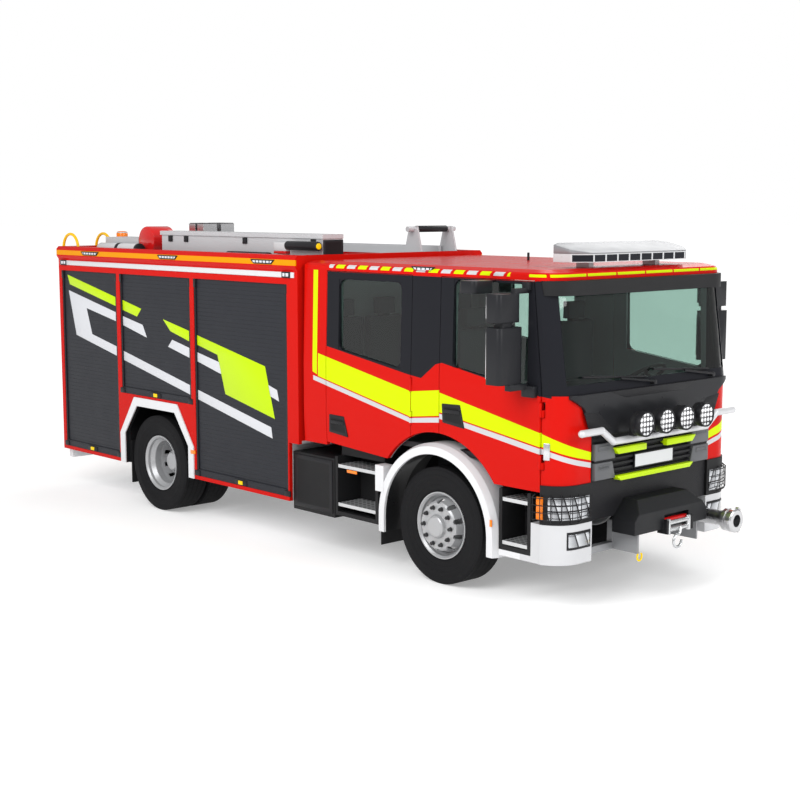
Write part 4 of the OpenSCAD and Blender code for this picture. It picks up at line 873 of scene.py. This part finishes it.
# %% Light strip and flashers
finish(mirrored(box(white_plastic, (-3.99, -1.260, 2.634), (0.40, -1.249, 2.688), 0.004)), "light_strip")
work_lamps = [sink_face(box(black_trim, (x, -1.268, 2.632), (x + 0.13, -1.249, 2.692), 0.006),
                        TO_RIGHT, 0.008, 0.004, flash_cells) for x in (-3.97, 0.22)]
finish(mirrored(joined(work_lamps)), "work_lamps")


def flasher(x, y, z, length):
    slant, high = 0.05, 0.042
    outline = ((x, z + high), (x + slant, z), (x + length - slant, z), (x + length, z + high))
    housing = plate(black_trim, outline, "Y", y, y - 0.02, 0.004)
    return sink_face(housing, TO_RIGHT, 0.007, 0.003, flash_cells)


flashers = [flasher(x, -1.268, 2.758, 0.38) for x in (-3.47, -1.90, -0.25)]
flashers.append(flasher(1.96, -1.172, 2.752, 0.30))
finish(mirrored(joined(flashers)), "flashers")

# %% [markdown]
# ### Front corner lamps
# The headlamps, fog lamps and indicators follow the round corner of the cab. Seen from above, each
# is a strip between two arcs about the corner's middle, so one function draws that strip from one
# angle to another and a plate gives it its height. Bent wires guard the headlamps.

# %% Headlamps, indicators and fog lamps
CORNER_X, CORNER_Y, CORNER_R = 3.465, 0.953, 0.25
LENS_LOW, LENS_HIGH, WIRE = 0.775, 0.965, 0.004


def corner_spot(turn, out):
    """Point round the right front corner, out from its face; the angle counts from straight ahead."""
    reach, angle = CORNER_R + out, math.radians(turn)
    return (CORNER_X + reach * math.cos(angle), -CORNER_Y - reach * math.sin(angle))


def corner_strip(start, end, out, run=0.0):
    """Outline of a strip two centimetres thick round the corner, with a straight run if one is given."""
    turns = [start + (end - start) * i / 12 for i in range(13)]

    def arc(off):
        points = [corner_spot(turn, off) for turn in turns]
        if run:
            points.insert(0, (CORNER_X + CORNER_R + off, -CORNER_Y + run))
        return points

    return arc(out) + arc(out - 0.02)[::-1]


lenses = [plate(lamp_mirror, corner_strip(0, 62, 0.020, 0.12), "Z", LENS_LOW, LENS_HIGH, 0.004),
          plate(lamp_mirror, corner_strip(0, 24, 0.018, 0.13), "Z", 0.545, 0.655, 0.004)]
finish(mirrored(joined(lenses)), "lamp_lenses")
indicator = plate(amber_lens, corner_strip(71, 84, 0.022), "Z", LENS_LOW, LENS_HIGH, 0.004)
finish(mirrored(indicator), "indicators")
marker = plate(tin, corner_strip(60, 72, 0.010), "Z", 1.27, 1.41, 0.003)
finish(mirrored(marker), "corner_markers")
fog_frame = plate(black_trim, corner_strip(0, 27, 0.016, 0.145), "Z", 0.525, 0.675, 0.004)
finish(mirrored(fog_frame), "fog_lamp_frames")


def corner_wire(z, out):
    points = [(*corner_spot(90 - 6 * i, out), z) for i in range(16)]
    return bent_rod(black_trim, points + [(CORNER_X + CORNER_R + out, -0.83, z)], WIRE)


def upright_wire(turn, out):
    spot, tip = corner_spot(turn, out), corner_spot(turn, 0.012)
    route = [(*tip, LENS_LOW - 0.02), (*spot, LENS_LOW), (*spot, LENS_HIGH), (*tip, LENS_HIGH + 0.02)]
    return bent_rod(black_trim, route, WIRE)


guard = [corner_wire(z, 0.04) for z in (0.78, 0.84, 0.90, 0.96)]
guard += [upright_wire(turn, 0.044) for turn in (2, 20, 38, 56, 74, 88)]
finish(mirrored(joined(guard)), "lamp_guards")

# %% [markdown]
# ### Driving lamps
# The four round lamps on the bar are alike: a black rim, and a glass face set back a little over a
# field of small light cells. One is modelled and three are copied along the bar.

# %% Driving lamps
LAMP_FACE, LAMP_Z, LAMP_PITCH = 3.975, 1.533, 0.277
first = -1.5 * LAMP_PITCH
rim = rod(black_trim, (LAMP_FACE - 0.05, first, LAMP_Z), (LAMP_FACE + 0.012, first, LAMP_Z), 0.106,
          0.005, 48)
sink_face(rim, AHEAD, 0.010, 0.008, lamp_cells)
round_lamps = [rim] + [copy_moved(rim, Matrix.Translation((0, i * LAMP_PITCH, 0))) for i in (1, 2, 3)]
finish(joined(round_lamps), "driving_lamps")

# %% [markdown]
# ### Grille, steps and plate
# Below the lamp bar two dark step plates with grip slots stand each side of the black mesh. Yellow
# bars cross it above and below, and the number plate between them is blank. The lid above has a
# sloping honeycomb intake at each end and a dip along its top edge.

# %% Grille dressing
GRILLE_X, LID_X = 3.70, 3.735
steps = []
for low, high in ((1.07, 1.215), (1.235, 1.375)):
    outline = ((-0.785, low), (-0.52, low), (-0.56, high), (-0.785, high))
    slot = box(step_grey, (3.738, -0.75, high - 0.062), (3.752, -0.60, high - 0.022), 0.004)
    steps.append(plate(step_grey, outline, "X", GRILLE_X, 3.746, 0.006))
    steps.append(sink_face(slot, AHEAD, 0.006, 0.006, black_trim))
finish(mirrored(joined(steps)), "grille_steps")
UPPER_BAR = ((-0.56, 1.325), (-0.51, 1.27), (-0.14, 1.27), (-0.14, 1.325))
LOWER_BAR = ((-0.53, 1.085), (-0.48, 1.043), (0.48, 1.043), (0.53, 1.085))
upper, lower = [plate(lime_foil, bar, "X", GRILLE_X, 3.775, 0.006) for bar in (UPPER_BAR, LOWER_BAR)]
finish(joined([mirrored(upper), lower]), "grille_bars")
blank_plate = sink_face(box(black_trim, (3.732, -0.27, 1.118), (3.748, 0.27, 1.245), 0.003),
                        AHEAD, 0.008, 0.001, white_plastic)
finish(blank_plate, "blank_plate")


def honeycomb():
    comb = Finish("honeycomb_black", (0.016, 0.016, 0.018), rough=0.5)
    cells = comb.add("TexVoronoi")
    cells.feature = "DISTANCE_TO_EDGE"
    cells.inputs["Scale"].default_value = 55.0
    cells.inputs["Randomness"].default_value = 0.0
    comb.link(comb.coords, cells.inputs["Vector"])
    comb.height = comb.times(comb.under(cells.outputs["Distance"], 0.10), 0.006)
    return comb.done()


INTAKE = ((-0.93, 1.655), (-0.74, 1.63), (-0.58, 1.495), (-0.86, 1.495))
DIP = ((-0.60, 1.799), (-0.40, 1.735), (0.40, 1.735), (0.60, 1.799))
finish(mirrored(plate(honeycomb(), INTAKE, "X", LID_X, 3.746, 0.003)), "lid_intakes")
finish(plate(black_trim, DIP, "X", LID_X, 3.747, 0.003), "lid_dip")

# %% [markdown]
# ### Winch parts, hook and shackle
# A red rope drum shows in the slot of the winch cover. Bright roller ends and a forged hook hang in
# front, and a small yellow shackle sits on the lower plate.

# %% Winch dressing
finish(rod(red_lens, (3.915, -0.09, 0.645), (3.915, 0.23, 0.645), 0.042, 0.004), "rope_drum")
rollers = [rod(tin, (3.965, y, 0.556), (3.965, y, 0.684), 0.021, 0.004) for y in (-0.07, 0.21)]
rollers += [rod(tin, (3.965, -0.06, z), (3.965, 0.20, z), 0.019, 0.004) for z in (0.59, 0.65)]
finish(joined(rollers), "fairlead_rollers")
turns = [math.radians(a) for a in range(80, 361, 14)]
bow = [(4.0, 0.02 + 0.055 * math.cos(t), 0.49 + 0.055 * math.sin(t)) for t in turns]
finish(bent_rod(tin, [(3.99, 0.07, 0.60), (4.0, 0.05, 0.56)] + bow, 0.013), "winch_hook")
turns = [i * math.pi / 8 for i in range(-6, 7)]
loop = [(3.93, -0.41 + 0.03 * math.sin(t), 0.41 - 0.035 * math.cos(t)) for t in turns]
finish(bent_rod(yellow_plastic, loop, 0.008), "shackle")

# %% [markdown]
# ### Wipers
# Two wipers rest along the lower edge of the windscreen. Each has a spindle on the cowl, an arm and a
# blade that stands a finger's width ahead of the leaning glass.

# %% Wipers
SCREEN_X, SCREEN_Z, SCREEN_LEAN = 3.712, 1.83, math.tan(math.radians(8))


def on_screen(y, z, ahead):
    return (SCREEN_X + ahead - SCREEN_LEAN * (z - SCREEN_Z), y, z)


wipers = []
for spindle, start, end in ((-0.02, -0.10, -0.92), (0.82, 0.78, 0.0)):
    arm = [on_screen(spindle, 1.84, 0.045), on_screen((spindle + end) / 2, 1.90, 0.04)]
    blade = [on_screen(start, 1.885, 0.016), on_screen(end, 1.94, 0.016)]
    pin = [on_screen(spindle, 1.835, ahead) for ahead in (0.0, 0.05)]
    wipers += [rod(black_trim, *pin, 0.022, 0.004), bent_rod(black_trim, arm, 0.010),
               bent_rod(black_trim, blade, 0.011)]
finish(joined(wipers), "wipers")

# %% [markdown]
# ### Mirror housings
# A moulded mirror housing has no sharp edge. The solid's own mesh is copied, its triangles are merged
# into whole faces, and a wide bevel rounds what was left square. The copy then stands in for the solid.

# %% Mirror housings
MIRROR_ROUND = 0.018


def rounded_copy(node, name, body):
    piece = copy_moved(nodes[node], Matrix.Identity(4))
    pick(piece)
    edit_all()
    bpy.ops.mesh.remove_doubles(threshold=0.0001)
    bpy.ops.mesh.dissolve_limited(angle_limit=0.02)
    leave_edit()
    soften(piece, MIRROR_ROUND)
    finish(piece, name, body)
    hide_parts(node)


rounded_copy("mirrors_right", "mirror_housings_right", "front_door_right")
rounded_copy("mirrors_left", "mirror_housings_left", "front_door_left")

# %% [markdown]
# ### Rounded window corners
# A moulded black frame gives the door windows round corners. Each corner is filled by a small plate
# with a hollow arc toward the pane, and the plates lean inward with the side of the cab.

# %% Window corners
CORNER_ROUND, FILL_THICK = 0.075, 0.024
PANE_Y, PANE_LEAN, BELT_Z = -1.188, 0.027, 1.83
FRONT_PANE = ((2.505, 1.95), (3.375, 1.84), (3.36, 2.685), (2.505, 2.70))
CREW_PANE = ((0.995, 1.995), (1.85, 1.88), (1.85, 2.645), (0.995, 2.645))


def corner_fill(corner, one, two):
    """Plate between two edges that meet at a corner, with a hollow arc toward the window."""
    corner, one, two = Vector(corner), Vector(one), Vector(two)
    along, across = (one - corner).normalized(), (two - corner).normalized()
    half = along.angle(across) / 2
    middle = corner + (along + across).normalized() * CORNER_ROUND / math.sin(half)
    start = corner + along * CORNER_ROUND / math.tan(half) - middle
    end = corner + across * CORNER_ROUND / math.tan(half) - middle
    arc = [middle + start.lerp(end, i / 10).normalized() * CORNER_ROUND for i in range(1, 10)]
    return plate(frame_black, [corner] + arc, "Y", 0, -FILL_THICK, 0.0004)


def window_corners(pane, name, door):
    fills = joined([corner_fill(pane[i], pane[i - 1], pane[(i + 1) % 4]) for i in range(4)])
    for vertex in fills.data.vertices:
        vertex.co.y += PANE_Y + PANE_LEAN * (vertex.co.z - BELT_Z)
    on_both(fills, name, door)


window_corners(FRONT_PANE, "front_window_corners", "front_door")
window_corners(CREW_PANE, "crew_window_corners", "crew_door")

# %% [markdown]
# ### Door handles and mirror glass
# Each door has a black recessed handle with a sloping outline. The handle moves with its door, and so
# do the mirror glasses behind their housings, so every one is its own piece on its own door.

# %% Door handles and mirror glass
DOOR_Y = -1.215
CREW_HANDLE = ((0.868, 1.371), (1.078, 1.367), (1.135, 1.178), (0.866, 1.202))
FRONT_HANDLE = ((2.385, 1.622), (2.605, 1.630), (2.661, 1.429), (2.394, 1.457))


def handle(outline):
    shell = plate(black_trim, outline, "Y", DOOR_Y + 0.004, DOOR_Y - 0.006, 0.004)
    sink_face(shell, TO_RIGHT, 0.022, 0.004, satin_black)
    back, front = min(x for x, z in outline), max(x for x, z in outline)
    top = max(z for x, z in outline)
    pull = box(black_trim, (back + 0.03, DOOR_Y - 0.014, top - 0.085),
               (front - 0.05, DOOR_Y - 0.002, top - 0.05), 0.005)
    return joined([shell, pull])


on_both(handle(CREW_HANDLE), "crew_handle", "crew_door")
on_both(handle(FRONT_HANDLE), "front_handle", "front_door")
panes = [box(mirror_face, (3.208, -1.535, low), (3.216, -1.302, high), 0.003)
         for low, high in ((1.93, 2.31), (2.42, 2.59))]
on_both(joined(panes), "mirror_glass", "front_door")

# %% [markdown]
# ### Wheel nuts
# A lorry wheel is held by ten hexagon nuts with a washer face. One nut is turned on a stud, then
# copied round the hub. The front set stands proud of the disc and the rear set sits deep in its dish.

# %% Wheel nuts
NUT_RING, NUTS = 0.1675, 10
NUT_PARTS = ((0, 0.006, 0.021, 0.002, 16), (0.005, 0.030, 0.018, 0.003, 6), (0.02, 0.040, 0.010, 0.002, 12))


def nut_set(axle_x, face_y):
    """Washer, hexagon and stud end from start to end of their length, copied round the hub."""
    x, hub = axle_x + NUT_RING, Vector((axle_x, 0, AXLE_Z))
    one = joined([rod(dark_steel, (x, face_y - start, AXLE_Z), (x, face_y - end, AXLE_Z), *shape)
                  for start, end, *shape in NUT_PARTS])
    to_hub, back = Matrix.Translation(-hub), Matrix.Translation(hub)
    spins = [back @ Matrix.Rotation(2 * math.pi * i / NUTS, 4, "Y") @ to_hub for i in range(1, NUTS)]
    return joined([one] + [copy_moved(one, spin) for spin in spins])


on_both(nut_set(FRONT_AXLE, -1.195), "nuts_front", "wheel_front")
on_both(nut_set(REAR_AXLE, -0.927), "nuts_rear", "wheels_rear")

# %% [markdown]
# ### Side markers, box lids and tail lamps
# Amber markers sit on the front arch, under the upper step and beside the rear arch. The side box has
# a raised lid with a soft edge. At the back, lenses in three colours cover the tail lamp blocks.

# %% Side markers, box lids and tail lamps
side_marks = [box(amber_lens, (-1.37, -1.268, 0.715), (-1.29, -1.250, 0.755), 0.004),
              box(amber_lens, (3.002, -1.258, 0.64), (3.028, -1.246, 0.70), 0.004),
              box(amber_lens, (1.10, -1.203, 0.838), (1.24, -1.193, 0.866), 0.003)]
finish(mirrored(joined(side_marks)), "side_markers")
lid = box(black_trim, (0.325, -1.212, 0.41), (0.895, -1.196, 0.925), 0.010)
finish(mirrored(sink_face(lid, TO_RIGHT, 0.035, 0.004, satin_black)), "side_box_lids")
TAIL = ((red_lens, 0.90, 0.995), (amber_lens, 1.0, 1.085), (white_plastic, 1.09, 1.18))
tail = [box(colour, (BODY_BACK - 0.034, -high, 0.63), (BODY_BACK - 0.02, -low, 0.75), 0.006)
        for colour, low, high in TAIL]
finish(mirrored(joined(tail)), "tail_lenses")

# %% [markdown]
# ### Roof equipment
# Black hose tubes with yellow ends lie beside the roof box, whose front end is a black panel and whose
# lid has black latches. A red reel cover and a white roll lie behind it, the beacons have amber domes,
# and the grip bar over the ladder has a black sleeve.

# %% Roof equipment
TUBE_Y, ROLL_Y, ROLL_Z = -0.965, -0.99, 2.83


def lying(material, back, front, y, z, radius, soft):
    """A rod along the vehicle."""
    return rod(material, (back, y, z), (front, y, z), radius, soft)


tubes = [lying(black_trim, -0.06, 0.42, TUBE_Y, 2.93, 0.045, 0.006),
         lying(black_trim, -1.05, -0.35, TUBE_Y, 2.81, 0.045, 0.006)]
finish(joined(tubes), "hose_tubes")
caps = [lying(yellow_plastic, 0.415, 0.43, TUBE_Y, 2.93, 0.030, 0.003),
        lying(yellow_plastic, -0.355, -0.34, TUBE_Y, 2.81, 0.030, 0.003)]
finish(joined(caps), "tube_caps")
panel = box(black_trim, (0.403, -0.895, 2.775), (0.416, -0.645, 2.99), 0.004)
finish(sink_face(panel, AHEAD, 0.02, 0.003, satin_black), "roof_box_end")
latches = [box(black_trim, (x - 0.035, -0.915, 2.93), (x + 0.035, -0.898, 2.995), 0.005)
           for x in (-2.2, -1.9, -0.84, 0.27)]
finish(joined(latches), "roof_box_latches")
side_light = [box(white_plastic, (-0.30, -0.955, 2.87), (-0.10, -0.90, 2.96), 0.010),
              box(red_lens, (-0.30, -0.957, 2.845), (-0.10, -0.90, 2.872), 0.008)]
finish(joined(side_light), "roof_side_light")
finish(rod(red_lens, (-2.70, -0.90, 2.93), (-2.70, -0.60, 2.93), 0.16, 0.02, 48), "reel_cover")
roll = [lying(white_plastic, -3.50, -2.70, ROLL_Y, ROLL_Z, 0.068, 0.008),
        lying(black_trim, -3.12, -3.06, ROLL_Y, ROLL_Z, 0.071, 0.003),
        lying(black_trim, -2.72, -2.68, ROLL_Y, ROLL_Z, 0.071, 0.006)]
finish(joined(roll), "white_roll")
domes = [rod(amber_lens, (-3.835, y, 2.90), (-3.835, y, 3.02), 0.068, 0.03) for y in (-0.50, 1.05)]
finish(joined(domes), "beacon_domes")
finish(rod(black_trim, (0.255, 0.48, 3.08), (0.255, 0.92, 3.08), 0.034, 0.006), "grip_sleeve")
finish(rod(black_trim, (1.95, 0.35, 2.79), (1.95, 0.35, 2.88), 0.012, 0.004), "aerial_stub")

# %% [markdown]
# ### Lamp heads of the mast
# The mast carries four lamp heads. Each gets a black frame round a mirrored lens on the face that
# looks up while the mast lies down, and they move with the mast.

# %% Lamp heads
MAST_Y, MAST_TIP, HEAD_HIGH = -0.30, -2.285, 3.12
heads = []
for x in (MAST_TIP - 0.13, MAST_TIP + 0.03):
    for y in (MAST_Y - 0.12, MAST_Y + 0.12):
        head = box(black_trim, (x + 0.005, y - 0.085, HEAD_HIGH - 0.01),
                   (x + 0.115, y + 0.085, HEAD_HIGH + 0.008), 0.005)
        heads.append(sink_face(head, UP, 0.008, 0.004, lamp_mirror))
finish(joined(heads), "mast_lamp_faces", "light_mast")

# %% [markdown]
# ### Seats
# A cab seat is foam under cloth, so the plain solids are replaced by padded shapes: a box is divided
# finely, its middle is raised and its sides are drawn in between the corners, and a smooth surface
# rounds it off. One seat is made for each row, and copied to the row's other places.

# %% Seats
SEAT_BASE, SEAT_GAP = 1.23, 0.01
SEAT_ROWS = ((2.565, 0.50, (-0.72, 0.64)), (0.885, 0.48, (-0.81, -0.27, 0.27, 0.81)))
cloth = Finish("seat_weave", (0.055, 0.056, 0.062), rough=0.9, grain=1600.0, depth=0.0006)
cloth.height = cloth.math("ADD", cloth.height, cloth.times(cloth.zigzag(cloth.y, 260.0), 0.0004))
seat_weave = cloth.done()


def pad(low, high, crown_axis, crown):
    """A cushion whose two wide faces swell along one axis, with a channel near each side."""
    piece = block(low, high)
    edit_all()
    bpy.ops.mesh.subdivide(number_cuts=7)
    leave_edit()
    middle = [(a + b) / 2 for a, b in zip(low, high)]
    half = [(b - a) / 2 for a, b in zip(low, high)]
    spread = [i for i in range(3) if i != crown_axis]
    for vertex in piece.data.vertices:
        share = [(vertex.co[i] - middle[i]) / half[i] for i in range(3)]
        fullness = (1 - share[spread[0]] ** 2) * (1 - share[spread[1]] ** 2)
        channel = 0.35 * math.exp(-((abs(share[1]) - 0.55) / 0.10) ** 2)
        vertex.co[crown_axis] += crown * share[crown_axis] * (fullness - channel * (fullness > 0.05) - 0.4)
        for i, j in (spread, spread[::-1]):
            vertex.co[i] -= 0.05 * half[i] * share[i] * (1 - share[j] ** 2)
    smooth = piece.modifiers.new("smooth", "SUBSURF")
    smooth.levels = smooth.render_levels = 1
    bpy.ops.object.modifier_apply(modifier=smooth.name)
    bpy.ops.object.shade_smooth()
    return wear(piece, seat_weave)


def seat_and_stand(x, y, width):
    """Cushion, back and headrest as one padded piece, and the black stand with the headrest's post."""
    right, left = y - width / 2 + SEAT_GAP, y + width / 2 - SEAT_GAP
    z = SEAT_BASE
    soft = joined([pad((x - 0.27, right, z + 0.335), (x + 0.255, left, z + 0.45), 2, 0.014),
                   pad((x - 0.335, right, z + 0.44), (x - 0.225, left, z + 1.02), 0, 0.014),
                   pad((x - 0.325, y - width / 4, z + 1.03),
                       (x - 0.245, y + width / 4, z + 1.195), 0, 0.010)])
    stand = joined([box(satin_black, (x - 0.25, right, z), (x + 0.25, left, z + 0.335), 0.012),
                    box(satin_black, (x - 0.33, y - 0.05, z + 1.0), (x - 0.26, y + 0.05, z + 1.05), 0.006)])
    return soft, stand


seats, stands = [], []
for x, width, places in SEAT_ROWS:
    soft, stand = seat_and_stand(x, places[0], width)
    moves = [Matrix.Translation((0, y - places[0], 0)) for y in places[1:]]
    seats += [soft] + [copy_moved(soft, move) for move in moves]
    stands += [stand] + [copy_moved(stand, move) for move in moves]
for number, seat in enumerate(seats, 1):
    finish(seat, "seat_%d" % number)
seat_frames = finish(joined(stands), "seat_frames")
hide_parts("seats")
